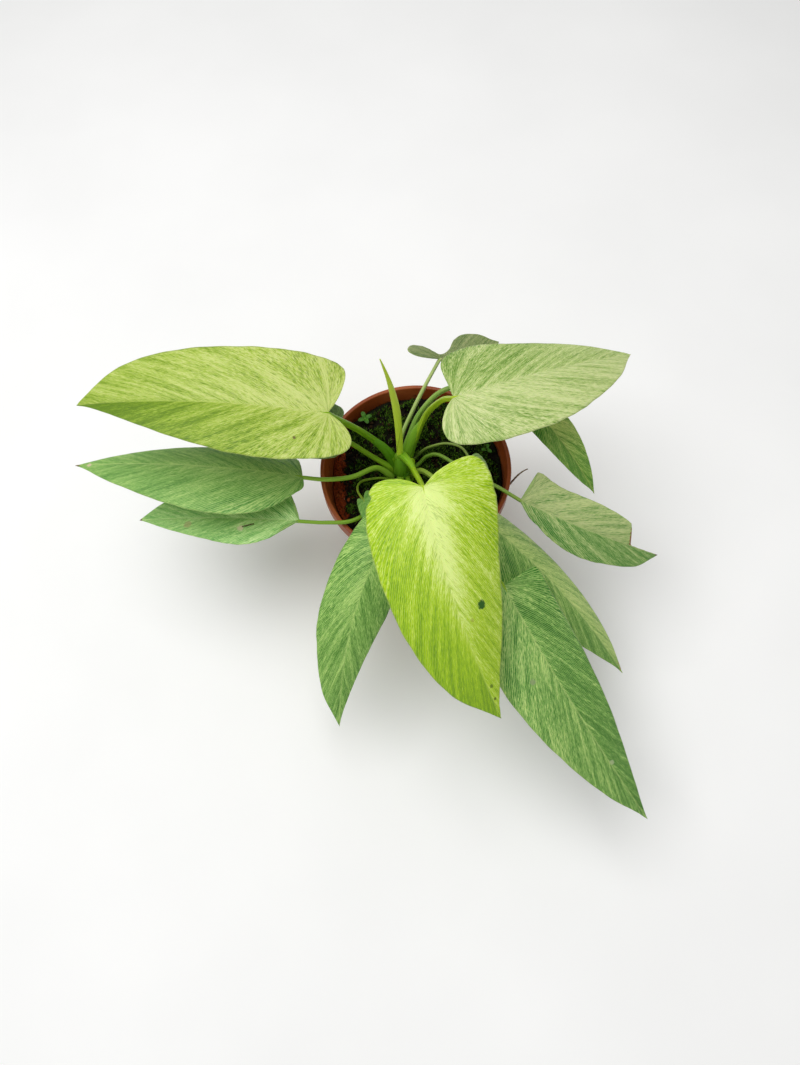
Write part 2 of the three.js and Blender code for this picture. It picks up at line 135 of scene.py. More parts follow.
def turnOutward(mesh):
    # every face of a closed mesh looks outward
    solid = bmesh.new()
    solid.from_mesh(mesh)
    bmesh.ops.recalc_face_normals(solid, faces=solid.faces)
    solid.to_mesh(mesh)
    solid.free()


def keepPiece(piece, slot, *nodes):
    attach(piece, "root")
    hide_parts(*nodes)


def newTree(name, inputs):
    # a geometry tree with named inputs; returns it with its group input node
    tree = bpy.data.node_groups.new(name, "GeometryNodeTree")
    tree.interface.new_socket(name="Geometry", in_out="INPUT", socket_type="NodeSocketGeometry")
    tree.interface.new_socket(name="Geometry", in_out="OUTPUT", socket_type="NodeSocketGeometry")
    for label, kind in inputs.items():
        tree.interface.new_socket(name=label, in_out="INPUT", socket_type="NodeSocket" + kind)
    return tree, tree.nodes.new("NodeGroupInput").outputs


def endTree(tree, geometry, material):
    realized = addNode(tree, "GeometryNodeRealizeInstances", {}, {"Geometry": geometry})
    smooth = addNode(tree, "GeometryNodeSetShadeSmooth", {}, {"Geometry": realized})
    dressed = addNode(tree, "GeometryNodeSetMaterial", {}, {"Geometry": smooth, "Material": material})
    addNode(tree, "NodeGroupOutput", {}, {0: dressed})


def runTree(host, tree, values, name):
    modifier = host.modifiers.new("nodes", "NODES")
    modifier.node_group = tree
    for item in tree.interface.items_tree:
        if item.in_out == "INPUT" and item.name in values:
            modifier[item.identifier] = values[item.name]
    graph = bpy.context.evaluated_depsgraph_get()
    mesh = bpy.data.meshes.new_from_object(
        host.evaluated_get(graph), preserve_all_data_layers=True, depsgraph=graph)
    host.modifiers.clear()
    bpy.data.objects.remove(host)
    mesh.name = name
    return newObject(name, mesh)


# Leaves, by the CAD model's rule on a finer grid; a few margins follow the real leaf more closely than
# its solids do. Two values in a row are the right and the left half, looking from the stalk to the tip.
# base, tip, arch, bow and roll place the midrib. half, lobe, lobeAt, widest, full and rounding draw the
# margin, nicks and cut change it, and margin gives the left half rows of its own. fold, curl and wave
# bend the blade across. azimuth and level are where the stalk leaves the crown, via where it passes.
plainLeaf = {  # what a leaf has unless its own row says otherwise
    "lobeAt": 0.46, "full": 1, "rounding": 0.03, "nicks": [], "cut": 1, "bow": 0, "roll": 0, "curl": -20,
    "wave": 1, "waves": 2, "phase": 0, "grid": (130, 26),
}
leaves = {
    "leaf_top_left": {
        "base": (-48, 5, 168), "tip": (-187, 18, 174), "arch": 8, "half": (38, 32),
        "lobe": (0.06, 0.1), "lobeAt": (0.62, 0.5), "widest": 0.24, "full": (1.27, 0.95),
        "rounding": 0.05, "fold": 12, "curl": -25, "wave": 1.5, "phase": (0.2, 0.6),
        "azimuth": 127, "level": 107.5,
        "via": [(-20.5, 10, 117), (-32, 11, 135)], "radius": (3, 1.8),
    },
    "leaf_under_top_left": {
        "base": (-50, 6, 140), "tip": (-161, 40, 112), "arch": 6, "half": (25, 17),
        "lobe": (0.04, 0.08), "widest": 0.25, "fold": 12, "curl": -25, "azimuth": 163,
        "level": 102.6, "via": [(-27, 6.5, 111), (-41, 10, 126)], "radius": (2, 1.4),
    },
    "leaf_left": {
        "base": (-69, -10, 122), "tip": (-208, 9, 122), "arch": 8, "half": (22, 31.5),
        "lobe": -0.02, "widest": 0.28, "fold": (-18, 14), "curl": -25,
        "azimuth": 186, "level": 98, "via": [(-25, -0.5, 108), (-39, -10, 117), (-55, -12, 120)],
        "radius": (2.1, 1.3),
        "margin": [
            (0, 0, 0), (-0.01, 0.14, 0), (-0.008, 0.27, 0), (0.015, 0.37, 0), (0.05, 0.52, 0.01),
            (0.1, 0.71, 0.03), (0.18, 0.89, 0.08), (0.3, 0.99, 0.17), (0.45, 0.94, 0.3),
            (0.62, 0.735, 0.47), (0.83, 0.376, 0.72), (0.94, 0.113, 0.88), (1, 0, 1),
        ],
    },
    "leaf_lower_left": {
        "base": (-73, -33, 109), "tip": (-177, -17, 92), "arch": 4, "half": (22, 19),
        "lobe": -0.05, "widest": 0.25, "full": 1.2, "rounding": 0.05, "fold": 14, "curl": -25,
        "azimuth": 236, "level": 98, "via": [(-24, -24, 106), (-40, -35, 108.5), (-57, -35.5, 109)],
        "radius": (1.7, 1.2),
        "margin": [
            (0, 0, 0), (0.032, 0.05, 0), (0.07, 0.16, 0), (0.1, 0.33, 0), (0.125, 0.54, 0.01),
            (0.16, 0.69, 0.03), (0.22, 0.82, 0.1), (0.29, 0.95, 0.17), (0.4, 0.95, 0.27),
            (0.52, 0.8, 0.38), (0.66, 0.62, 0.52), (0.83, 0.35, 0.72), (0.94, 0.11, 0.88), (1, 0, 1),
        ],
    },
    "leaf_front_left": {
        "base": (-21, -53, 120), "tip": (-59, -148, 50), "arch": 12, "bow": -6, "half": (22, 22),
        "lobe": (0.16, 0.12), "widest": (0.4, 0.3), "full": (1.2, 0.95), "fold": (10, -20),
        "curl": -30, "azimuth": 262, "level": 101, "via": [(-12, -20, 108), (-17, -38, 116)],
        "radius": (1.8, 1.2),
    },
    "leaf_front_left_small": {
        "base": (-33, -26, 116), "tip": (-21, -63, 110), "arch": 2, "half": (5, 8),
        "lobe": (0.06, 0.14), "widest": 0.3, "fold": 10, "azimuth": 206, "level": 95.5,
        "via": [(-24, -3, 98.5), (-34.5, -6, 101.5), (-37, -15, 108)], "radius": (0.9, 0.8),
        "grid": (60, 12),
    },
    "leaf_front": {
        "base": (1, -49, 176), "tip": (34, -161, 118), "arch": 12, "bow": -5, "half": (35, 41),
        "lobe": (0.07, 0.13), "lobeAt": (0.5, 0.72), "widest": (0.28, 0.1), "full": (1.22, 0.97),
        "fold": (6, 2), "foldTip": (6, -20), "curl": -35, "wave": 1.2, "phase": (0.1, 0.5),
        "azimuth": 350, "level": 114, "via": [(-3, -9, 124), (-1.5, -20, 136), (0.5, -34, 152)],
        "nicks": [(1, 0.365, 0.09, 0.016, 0), (-1, 0.91, 0.12, 0.02, 0), (-1, 0.8, 0.03, 0.02, 0)],
        "radius": (2.2, 1.6),
    },
    "leaf_lower_right": {
        "base": (43, -89, 125), "tip": (117, -215, 62), "arch": 8, "bow": -4, "half": (30, 27),
        "lobe": (0.12, 0.01), "lobeAt": (0.46, 0.72), "widest": (0.3, 0.22), "full": (1.08, 1),
        "fold": (8, -8), "wave": 1.8, "waves": 3.5, "azimuth": 298, "level": 103,
        "via": [(-3.5, -13, 106.5), (12, -37, 119), (27, -60, 124.5)], "radius": (1.8, 1.3),
    },
    "leaf_behind_lower_right": {
        "base": (42, -49, 116), "tip": (119, -129, 56), "arch": 4, "bow": 4, "half": (26, 18),
        "lobe": (0.1, 0.12), "widest": 0.26, "full": (1, 1.15), "fold": (14, -26),
        "azimuth": 335, "level": 100, "via": [(4.5, -5.5, 108), (18, -22, 114), (31, -37, 116)],
        "radius": (2.2, 1.3),
    },
    "leaf_right": {
        "base": (60, -35, 120), "tip": (146, -63, 84), "arch": 5, "bow": -4, "half": (18, 20),
        "lobe": -0.15, "widest": 0.42, "full": 1.32,
        "cut": (1, 0.79), "fold": (-6, 38), "curl": (-20, -30), "wave": (1, 2), "waves": 1.5,
        "nicks": [(1, 0.16, 0, 0.012, 0.012), (1, 0.213, 0, 0.04, -0.048), (1, 0.32, 0.14, 0.05, 0),
                  (1, 0.42, 0.2, 0.07, 0)],
        "margin": [
            (0, 0, 0), (0.015, 0.2, 0), (0.03, 0.39, 0), (0.03, 0.61, 0), (0.019, 0.85, 0),
            (0.03, 0.98, 0.01), (0.08, 1.0, 0.03), (0.15, 0.92, 0.07), (0.25, 0.87, 0.16),
            (0.36, 0.88, 0.26), (0.5, 0.85, 0.4), (0.63, 0.76, 0.53), (0.75, 0.61, 0.65),
            (0.85, 0.4, 0.75), (0.94, 0.15, 0.88), (1, 0, 1),
        ],
        "azimuth": 15, "level": 96.5, "radius": (1.5, 1.2),
        "via": [(3, 4.5, 100), (8, 6, 106), (16, 3, 111), (32.5, -13, 115), (47, -23.5, 117)],
    },
    "leaf_right_small": {
        "base": (72, 22, 132), "tip": (111, -23, 95), "arch": 6, "half": (11.5, 13), "lobe": 0.1,
        "widest": 0.28, "full": 1.1, "fold": 14, "curl": -25, "azimuth": 78, "level": 106,
        "via": [(-2.5, 14.5, 118), (5.5, 22, 134), (21, 27.5, 148), (48, 28, 148)],
        "radius": (2.1, 1.4),
    },
    "leaf_top_right": {
        "base": (22, 4, 176), "tip": (132, 41, 150), "arch": 9, "bow": -3, "half": (33, 41.5),
        "lobe": 0.1, "lobeAt": 0.5, "widest": 0.33, "full": 1.12, "fold": (8, -8), "curl": -25,
        "wave": 1.2, "azimuth": 38, "level": 109, "radius": (2.4, 1.6),
        "via": [(0.5, 10, 120), (8, 16.5, 139), (16.5, 12.5, 160)],
        "margin": [
            (0, 0, 0), (0, 0.3, 0), (0, 0.65, 0), (0.05, 0.88, 0), (0.12, 0.99, 0.02),
            (0.24, 0.96, 0.15), (0.4, 0.74, 0.32), (0.6, 0.54, 0.5), (0.78, 0.34, 0.7),
            (0.9, 0.15, 0.87), (1, 0, 1),
        ],
    },
    "leaf_back": {
        "base": (19, 48, 150), "tip": (60, 77, 122), "arch": -3, "roll": 5, "half": (17, 19.6),
        "lobe": 0.04, "widest": 0.42, "full": 1.1, "fold": (-20, 8), "curl": -10, "wave": 0,
        "azimuth": 100, "level": 97, "via": [(-7, 17, 114), (0, 26, 127), (9, 36, 140)],
        "radius": (1.6, 1.2),
        "margin": [
            (0, 0, 0), (-0.15, 0.05, 0), (-0.3, 0.18, 0), (-0.36, 0.45, 0), (-0.22, 0.7, 0.02),
            (-0.07, 0.6, 0.03), (0.02, 0.15, 0.1), (0.24, 0.3, 0.32), (0.43, 0.65, 0.5),
            (0.65, 0.8, 0.7), (0.85, 0.55, 0.87), (0.92, 0.2, 0.94), (1, 0, 1),
        ],
    },
    "leaf_front_right_small": {
        "base": (33, -5, 120), "tip": (40, -32, 118), "arch": 2, "half": (8, 8), "lobe": 0.08,
        "widest": 0.28, "fold": 10, "azimuth": 52, "level": 96.5, "radius": (0.9, 0.8),
        "grid": (60, 12),
        "via": [(1, 8.5, 101), (4, 8.3, 108), (9, 8, 114), (19, 6, 121), (28, 2, 122)],
    },
}

# How each blade looks. shades run from the deep green to the cream of its streaks, creamAndFoldLight is
# the share of cream on the right and left half, and partly painted light: one half is made paler, as a
# painted sheen, and the other darker, as painted shade of the fold. along shifts it towards the tip, rib
# adds it beside the midrib as far as ribSpread. dashShare, lines and ribLine are how strongly the dark
# dashes, the side veins
# and the midrib show. spots: place along and across the blade, radius, colour and how strong it is.
plainLook = {  # what a blade has unless its own row says otherwise
    "contrast": 1, "dashShare": 0.5, "lines": 0.5, "ribLine": 0.3, "ribSpread": 0.35, "spots": [],
}
looks = {
    "leaf_top_left": {
        "slot": "leaf_lime", "shades": ("#527600", "#80a01c", "#a4ba48", "#c4cf7c"),
        # the right half paler than the left: partly their own streaks, and partly painted shade of the
        # fold on the left half
        "creamAndFoldLight": (0.68, 0.42), "along": (-0.3, -0.75), "rib": 0.08, "contrast": 0.95,
        "stalk": ("#50820f", "#93b41c"), "ribLine": 0.15, "lines": 0.15,
        "spots": [(0.12, -0.6, 1.0, "#5e4a2c", 0.8)],
    },
    "leaf_under_top_left": {
        "slot": "leaf_green", "shades": ("#46662c", "#5f7f42", "#7c9858", "#9db27c"),
        "creamAndFoldLight": (0.35, 0.35), "along": 0, "rib": 0.1, "stalk": ("#69931b", "#92b323"),
    },
    "leaf_left": {
        "slot": "leaf_green", "shades": ("#307424", "#649b44", "#93ba65", "#c4da87"),
        "creamAndFoldLight": (0.46, 0.44), "along": -0.05, "rib": 0.12, "contrast": 0.75,
        "stalk": ("#86b034", "#94b83a"),
        "spots": [(0.93, -0.1, 1.5, "#cdbf9c", 0.9), (1.0, 0, 3, "#6b4a2a", 0.9)],
    },
    "leaf_lower_left": {
        "slot": "leaf_green", "shades": ("#3c8c34", "#7cb85a", "#a9d17e", "#daecaa"),
        "creamAndFoldLight": (0.42, 0.42), "along": 0, "rib": 0.1, "stalk": ("#6c9a20", "#8aae34"),
        "spots": [(0.335, -0.4, 2.0, "#d8c8a8", 0.8), (0.665, -0.42, 2.4, "#a9946a", 0.55),
                  (1.0, 0, 2, "#6b4a2a", 0.9),  # the rest is a slit with browned lips
                  *[(0.266 + 0.011 * k, -0.25 - 0.018 * k, 0.8, "#3f2818", 0.95) for k in range(6)]],
    },
    "leaf_front_left": {
        "slot": "leaf_green", "shades": ("#1e6512", "#558c33", "#89b55a", "#bdda7f"),
        "creamAndFoldLight": (0.48, 0.44), "along": -0.05, "rib": 0.15, "contrast": 1.1,
        "stalk": ("#69931b", "#92b323"),
    },
    "leaf_front_left_small": {
        "slot": "leaf_green", "shades": ("#33701c", "#528c2e", "#72a446", "#96ba66"),
        "creamAndFoldLight": (0.5, 0.5), "along": 0, "rib": 0.1, "stalk": ("#698e20", "#92a92e"),
    },
    "leaf_front": {
        "slot": "leaf_yellow_green", "shades": ("#5f8a00", "#8cb602", "#acca18", "#d8e98c"),
        "creamAndFoldLight": (0.42, 0.55), "along": (-0.28, -0.12), "rib": 0.62, "ribSpread": 0.25,
        "contrast": 0.8, "dashShare": 0.42, "lines": 0.27, "ribLine": 0.12,
        "stalk": ("#80aa10", "#b3c91b"),
        "spots": [(0.56, -0.46, 2.4, "#2f5c1c", 1), (0.87, -0.25, 1.1, "#4f6a1a", 0.8),
                  (0.92, -0.3, 0.9, "#4f5a1a", 0.8), (0.6, -0.2, 1.1, "#8a8a30", 0.5)],
    },
    "leaf_lower_right": {
        "slot": "leaf_green", "shades": ("#25681a", "#568f3a", "#88b25a", "#bed380"),
        "creamAndFoldLight": (0.43, 0.27), "along": -0.15, "rib": 0.12, "contrast": 1.35,
        "stalk": ("#69931b", "#92b323"),
        "spots": [(0.35, 0.45, 1.8, "#86956a", 0.8), (0.75, -0.1, 1.4, "#a9b58a", 0.7)],
    },
    "leaf_behind_lower_right": {
        "slot": "leaf_green", "shades": ("#2c6d1e", "#61943d", "#97b763", "#c4d284"),
        "creamAndFoldLight": (0.3, 0.58), "along": -0.05, "rib": 0.12, "stalk": ("#86a432", "#a9be58"),
        "spots": [(0.95, -0.9, 0.9, "#9a5a44", 0.6), (0.975, -0.8, 0.9, "#9a5a44", 0.6)],
    },
    "leaf_right": {
        "slot": "leaf_grey", "shades": ("#276f1c", "#649142", "#96ad69", "#bbc687"),
        # the left half's extra cream is a painted reflection of the sky on its side of the fold; the
        # right half stays green
        "creamAndFoldLight": (0.34, 0.74), "along": -0.15, "rib": 0.08, "contrast": 1.25,
        "stalk": ("#68902c", "#93ac4e"),
        "spots": [(1.0, 0, 2.4, "#5c4a2a", 0.9),  # the rest is the browned line along the cut edge
                  *[(0.782 - 0.0085 * k, -0.12 - 0.17 * k, 1.15, "#84452e", 0.85) for k in range(6)]],
    },
    "leaf_right_small": {
        "slot": "leaf_grey", "shades": ("#257411", "#659a35", "#9fbe5e", "#ced97f"),
        # the right half is kept dark as painted shade on the side of the fold away from the light, the
        # left half pale
        "creamAndFoldLight": (0.24, 0.6), "along": (-0.25, -0.75), "rib": 0.1, "stalk": ("#5a8a24", "#aabf6c"),
    },
    "leaf_top_right": {
        "slot": "leaf_lime", "shades": ("#4f7d18", "#87a44e", "#aec275", "#cdd598"),
        "creamAndFoldLight": (0.68, 0.46), "along": (0.05, 0.25), "rib": 0.12, "stalk": ("#689314", "#b6c924"),
        "ribLine": 0.2, "lines": 0.2,
    },
    "leaf_back": {
        "slot": "leaf_grey", "shades": ("#3f6026", "#647d40", "#83935a", "#a2a872"),
        "creamAndFoldLight": (0.5, 0.5), "along": 0, "rib": 0.1, "stalk": ("#86a64a", "#bccb84"),
    },
    "leaf_front_right_small": {
        "slot": "leaf_grey", "shades": ("#4f8336", "#719a4e", "#95b070", "#b2c48e"),
        "creamAndFoldLight": (0.5, 0.5), "along": 0, "rib": 0.1, "stalk": ("#67862c", "#93a656"),
    },
}

bladeMesh = {
    "thickness": 0.5, "vein": 1.25, "pleat": 6.5, "pleatDepth": 0.2, "ribGroove": 0.35, "ribWidth": 1.1,
    "sweep": 1.0, "bend": 2.6, "slant": 3.0, "fan": 26, "uneven": 0.004, "cutRun": 0.05,
    "leftVeins": 400,
}


def halfOf(value, side):
    return value[0 if side > 0 else 1] if isinstance(value, tuple) else value


def smoothRows(rows, shares):
    # a smooth run through a few rows of numbers, read at shares from 0 to 1
    rows = np.array(rows, float)
    span = np.clip(shares, 0, 1) * (len(rows) - 1)
    k = np.minimum(np.floor(span).astype(int), len(rows) - 2)
    u = (span - k)[:, None]
    ends = np.vstack([2 * rows[:1] - rows[1:2], rows, 2 * rows[-1:] - rows[-2:-1]])
    a, b, c, d = ends[k], ends[k + 1], ends[k + 2], ends[k + 3]
    square, cube = 2 * a - 5 * b + 4 * c - d, 3 * b - a - 3 * c + d
    return 0.5 * (2 * b + (c - a) * u + square * u**2 + cube * u**3)


def marginRows(leaf, side):
    # rows of a margin: place along the blade, share of the half width, place where its vein starts
    if "margin" in leaf and side < 0:
        return leaf["margin"]
    lobe, widest = halfOf(leaf["lobe"], side), halfOf(leaf["widest"], side)
    full, across = halfOf(leaf["full"], side), halfOf(leaf["lobeAt"], side)
    shoulder = 0.45 * widest if lobe > 0 else max(0.45 * widest, 0.06 - 1.5 * lobe)
    return [
        (0, 0, 0), (-0.55 * lobe, 0.35 * across, 0), (-lobe, across, 0),
        (-(0.62 if lobe > 0 else 1.5) * lobe, 0.57 + 0.5 * across, 0), (shoulder, 0.985, 0.03),
        (widest + 0.1, 0.97, 0.2), (0.62, 0.7 * full, 0.47), (0.83, 0.33 * full**2.7, 0.72),
        (0.94, 0.095 * full**3.5, 0.88), (1, 0, 1),
    ]


def roundedMargin(leaf, side, shares):
    # the outline read as a short running mean, so that no corner is left between its rows
    offsets = np.linspace(-1, 1, 9)
    window = leaf["rounding"] * np.minimum(1, np.minimum(shares, 1 - shares) / leaf["rounding"])
    total = 0
    for offset in offsets:
        total = total + smoothRows(marginRows(leaf, side), shares + offset * window)
    return total / len(offsets)


def marginCurve(leaf, side, shares, values):
    # a margin is never quite even, and a few are nicked (side, place along it, depth, width, and how
    # far it is moved towards the tip there) or cut off
    outline = roundedMargin(leaf, side, shares)
    x, y = outline[:, 0], outline[:, 1]
    y = y * (1 + values["uneven"] * (np.sin(shares * 71 + side) + np.sin(shares * 127 + 2 * side)))
    for where, middle, depth, width, push in leaf["nicks"]:
        if where == side:
            dent = np.exp(-(((shares - middle) / width) ** 2))
            x, y = x + push * dent, y * (1 - depth * dent)
    cut = halfOf(leaf["cut"], side)
    if cut < 1:
        y = y * np.clip((cut - x) / values["cutRun"], 0.03, 1)
    return x, y


def matchedShares(leaf, shares, starts):
    # for a left margin with rows of its own: its veins leave the midrib where the right ones do
    fine = np.linspace(0, 1, 2001)
    trial = np.clip(smoothRows(leaf["margin"], fine)[:, 2], 0, 1)
    first = fine[np.argmax(trial > 1e-4)]
    firstRight = shares[np.argmax(starts > 1e-4)]
    rising = fine >= first
    matched = np.interp(starts, np.maximum.accumulate(trial[rising]), fine[rising])
    return np.where(starts > 1e-4, matched, shares * first / firstRight)


def unit(v):
    return v / np.linalg.norm(v, axis=-1, keepdims=True)


def midrib(leaf, u):
    # the midrib's points with the tangent, sideways and upward directions of the blade there
    base, tip = np.array(leaf["base"], float), np.array(leaf["tip"], float)
    up = np.array((0, 0, 1.0))
    left = unit(np.cross(up, tip - base))
    control = (base + tip) / 2 + 2 * (up * leaf["arch"] + left * leaf["bow"])
    s = np.clip(u, 0, None)[:, None]
    point = base * (1 - s) ** 2 + control * 2 * s * (1 - s) + tip * s**2
    point = point + (control - base) * 2 * np.minimum(u, 0)[:, None]
    tangent = unit((control - base) * (1 - s) + (tip - control) * s)
    flat = unit(np.cross(tangent, up))
    rise = np.cross(flat, tangent)
    roll = math.radians(leaf["roll"])
    side = flat * math.cos(roll) + rise * math.sin(roll)
    return point, tangent, side, rise * math.cos(roll) - flat * math.sin(roll)


def bladePoints(leaf, u, reach, row, side, relief=0):
    point, _, across, normal = midrib(leaf, u)
    width = halfOf(leaf["half"], side)
    first = halfOf(leaf["fold"], side)
    last = halfOf(leaf.get("foldTip", leaf["fold"]), side)
    fold = np.radians(first + (last - first) * np.clip(u, 0, 1))
    curl = math.radians(halfOf(leaf["curl"], side))
    turn = fold + curl * reach / width
    lateral = width / curl * (np.sin(turn) - np.sin(fold))
    cycle = leaf["waves"] * row + halfOf(leaf["phase"], side)
    wave = halfOf(leaf["wave"], side) * np.sin(2 * np.pi * cycle) * (reach / width) ** 2
    lift = -width / curl * (np.cos(turn) - np.cos(fold)) + wave + relief
    return point + across * (lateral * side)[:, None] + normal * lift[:, None]


def veinCoordinates(leaf, u, reach, values):
    # which side vein a point lies on, as the place in mm where it leaves the midrib (negative for the
    # fan of veins in the lobes, which all start at the base), and how far along that vein it lies
    length = np.linalg.norm(np.array(leaf["tip"], float) - np.array(leaf["base"], float))
    x = u * length
    # veins leave the midrib at a smaller angle the nearer they are to the tip
    sweep = values["sweep"] * reach + values["bend"] * reach**2 / length
    ahead = (x - sweep) / (1 + values["slant"] * reach / length)
    angle = np.arctan2(reach, x) - np.arctan2(reach, sweep + 1e-6)
    start = np.where(ahead >= 0, ahead, -values["fan"] * np.maximum(angle, 0))
    return start, np.hypot(reach, x - np.maximum(start, 0))


def bladeGrid(leaf, values):
    # points of a whole blade, row by row from the left margin over the midrib to the right one
    rows, columns = leaf["grid"]
    shares = np.arange(1, rows) / (rows - 1)
    starts = np.clip(smoothRows(marginRows(leaf, 1), shares)[:, 2], 0, 1)
    t = np.arange(columns + 1) / columns
    halves = {}
    for side in (1, -1):
        own = matchedShares(leaf, shares, starts) if "margin" in leaf and side < 0 else shares
        x, y = marginCurve(leaf, side, own, values)
        u = starts[:, None] + (x - starts)[:, None] * t[None, :] ** values["vein"]
        reach = halfOf(leaf["half"], side) * y[:, None] * t[None, :]
        row = np.repeat(own[:, None], columns + 1, 1)
        spread = np.repeat(t[None, :], rows - 1, 0)
        start, along = veinCoordinates(leaf, u, reach, values)
        # pleats along the side veins, which fade at the midrib and the margin, and the midrib's groove
        pleat = np.sin(2 * np.pi * start / values["pleat"]) * np.sin(np.pi * spread) ** 0.8
        relief = values["pleatDepth"] * pleat * (0.6 + 0.4 * np.sin(start / 9 + side))
        relief = relief - values["ribGroove"] * np.exp(-((reach / values["ribWidth"]) ** 2))
        place = bladePoints(leaf, u.ravel(), reach.ravel(), row.ravel(), side, relief.ravel())
        halves[side] = {
            "place": place.reshape(rows - 1, columns + 1, 3), "u": u, "t": spread, "reach": reach,
            "start": start, "along": along,
        }
    # the left half runs inward and leaves the midrib to the right half
    return {key: np.concatenate([halves[-1][key][:, :0:-1], halves[1][key]], 1) for key in halves[1]}


def weldGrid(place):
    # the grid's points with those that fall together made one, and each cell's point
    known, points = {}, []
    index = np.zeros(place.shape[:2], int)
    for cell in np.ndindex(index.shape):
        key = tuple(np.round(place[cell], 3))
        if key not in known:
            known[key] = len(points)
            points.append(place[cell])
        index[cell] = known[key]
    return np.array(points), index


def gridFaces(index, columns):
    # faces over the welded grid, and for each corner its cell and whether it is on the left half
    faces, corners = [], []
    for i in range(index.shape[0] - 1):
        for j in range(index.shape[1] - 1):
            face, kept = [], []
            for cell in ((i, j), (i, j + 1), (i + 1, j + 1), (i + 1, j)):
                if index[cell] not in face:
                    face.append(index[cell])
                    kept.append((cell, j < columns))
            if len(face) > 2:
                faces.append(face)
                corners.append(kept)
    return faces, corners


def pointNormals(points, faces):
    normals = np.zeros_like(points)
    for face in faces:
        a, b, c = points[face[0]], points[face[1]], points[face[2]]
        n = np.cross(b - a, c - a)
        if len(face) > 3:
            n = n + np.cross(c - a, points[face[3]] - a)
        for k in face:
            normals[k] += n
    return unit(normals + 1e-12)


def closeShell(faces, corners, total):
    # the upper faces, the same again below them, and a strip of faces round the margin
    allFaces = faces + [[k + total for k in face[::-1]] for face in faces]
    allCorners = corners + [corner[::-1] for corner in corners]
    ways = {}
    for face, corner in zip(faces, corners):
        for k in range(len(face)):
            n = (k + 1) % len(face)
            ways[(face[k], face[n])] = (corner[k], corner[n])
    for (a, b), (cornerA, cornerB) in ways.items():
        if (b, a) not in ways:
            allFaces.append([b, a, a + total, b + total])
            allCorners.append([cornerB, cornerA, cornerA, cornerB])
    return allFaces, allCorners


def creamAndLightShares(look, share, along, sides):
    # how much cream each point has: by half, by place along the blade, and more beside the midrib; the
    # share by half also holds painted sheen on one side of the fold and painted shade on the other
    run = np.clip(along, 0, 1) - 0.4
    creamAndFoldLight = {side: halfOf(look["creamAndFoldLight"], side) + halfOf(look["along"], side) * run for side in (1, -1)}
    blend = 0.5 + 0.5 * np.clip(share / 0.07, 0, 1) * sides
    cream = creamAndFoldLight[1] * blend + creamAndFoldLight[-1] * (1 - blend)
    beside = np.exp(-((share / look["ribSpread"]) ** 2)) * np.clip(1.25 - 1.5 * along, 0, 1)
    return cream + look["rib"] * beside * np.clip((along + 0.12) / 0.16, 0, 1)


def bladeObject(name, leaf, look, material, values):
    grid = bladeGrid(leaf, values)
    points, index = weldGrid(grid["place"])
    (count, wide), columns, total = index.shape, leaf["grid"][1], len(points)
    faces, corners = gridFaces(index, columns)
    normals = pointNormals(points, faces)
    if normals[:, 2].mean() < 0:  # the upper face looks up
        faces = [face[::-1] for face in faces]
        corners = [corner[::-1] for corner in corners]
        normals = -normals
    share, along, sides = np.zeros(total), np.zeros(total), np.zeros(total)
    share[index.ravel()] = grid["t"].ravel()
    along[index.ravel()] = grid["u"].ravel()
    sides[index.ravel()] = np.tile(np.where(np.arange(wide) < columns, -1, 1), count)
    thick = (values["thickness"] / 2 * (1 - 0.6 * share**10))[:, None]  # thinner at the margin
    faces, corners = closeShell(faces, corners, total)
    shell = np.vstack([points + normals * thick, points - normals * thick])
    mesh = meshFrom(name, shell * mm, faces, material)
    veins, plan = [], []
    for (i, j), left in (corner for face in corners for corner in face):
        # the left half's veins are numbered from another start, so that the halves differ
        veins += [grid["start"][i, j] + (values["leftVeins"] if left else 0), grid["along"][i, j]]
        plan += [grid["reach"][i, j], grid["t"][i, j]]
    for label, places in (("veins", veins), ("plan", plan)):
        mesh.uv_layers.new(name=label).data.foreach_set("uv", places)
    storeValues(mesh, "cream", np.tile(creamAndLightShares(look, share, along, sides), 2))
    storeValues(mesh, "underside", np.repeat([0.0, 1.0], total))
    return newObject(name, mesh)


# Leaf blade: living leaf tissue with a thin wax layer, so it has a soft, broad sheen and no clear
# reflections. The cream and green run in streaks along the side veins.
bladeSkin = {
    # layers of noise: size across and along the veins in mm, detail, and share in the cream
    "layers": {
        "bands": (5.5, 45, 2, 0.8), "streaks": (1.1, 12, 3, 0.6), "flecks": (0.36, 3.2, 3, 1.75),
        "dashes": (0.8, 4.5, 2, 0),
    },
    "stops": (0.1, 0.36, 0.6, 0.88), "veinSpacing": 1.6, "roughness": (0.4, 0.58),
    "underside": "#82a64e", "underVein": "#b4c987", "edge": "#b4c480",
}
# juicy tissue: a weak reflection, and light that enters a little way, green deepest
flesh = {"IOR": 1.42, "Specular IOR Level": 0.3, "Subsurface Radius": (0.6, 1.0, 0.25)}


def spotPlace(leaf, u, across):
    side = 1 if across >= 0 else -1
    # the half width of the margin beside u, found along the outline
    outline = smoothRows(marginRows(leaf, side), np.linspace(0.3, 1, 200))
    width = np.interp(u, outline[:, 0], outline[:, 1]) * halfOf(leaf["half"], side)
    return bladePoints(leaf, np.array([u]), np.array([abs(across) * width]), np.array([0.5]), side)[0]


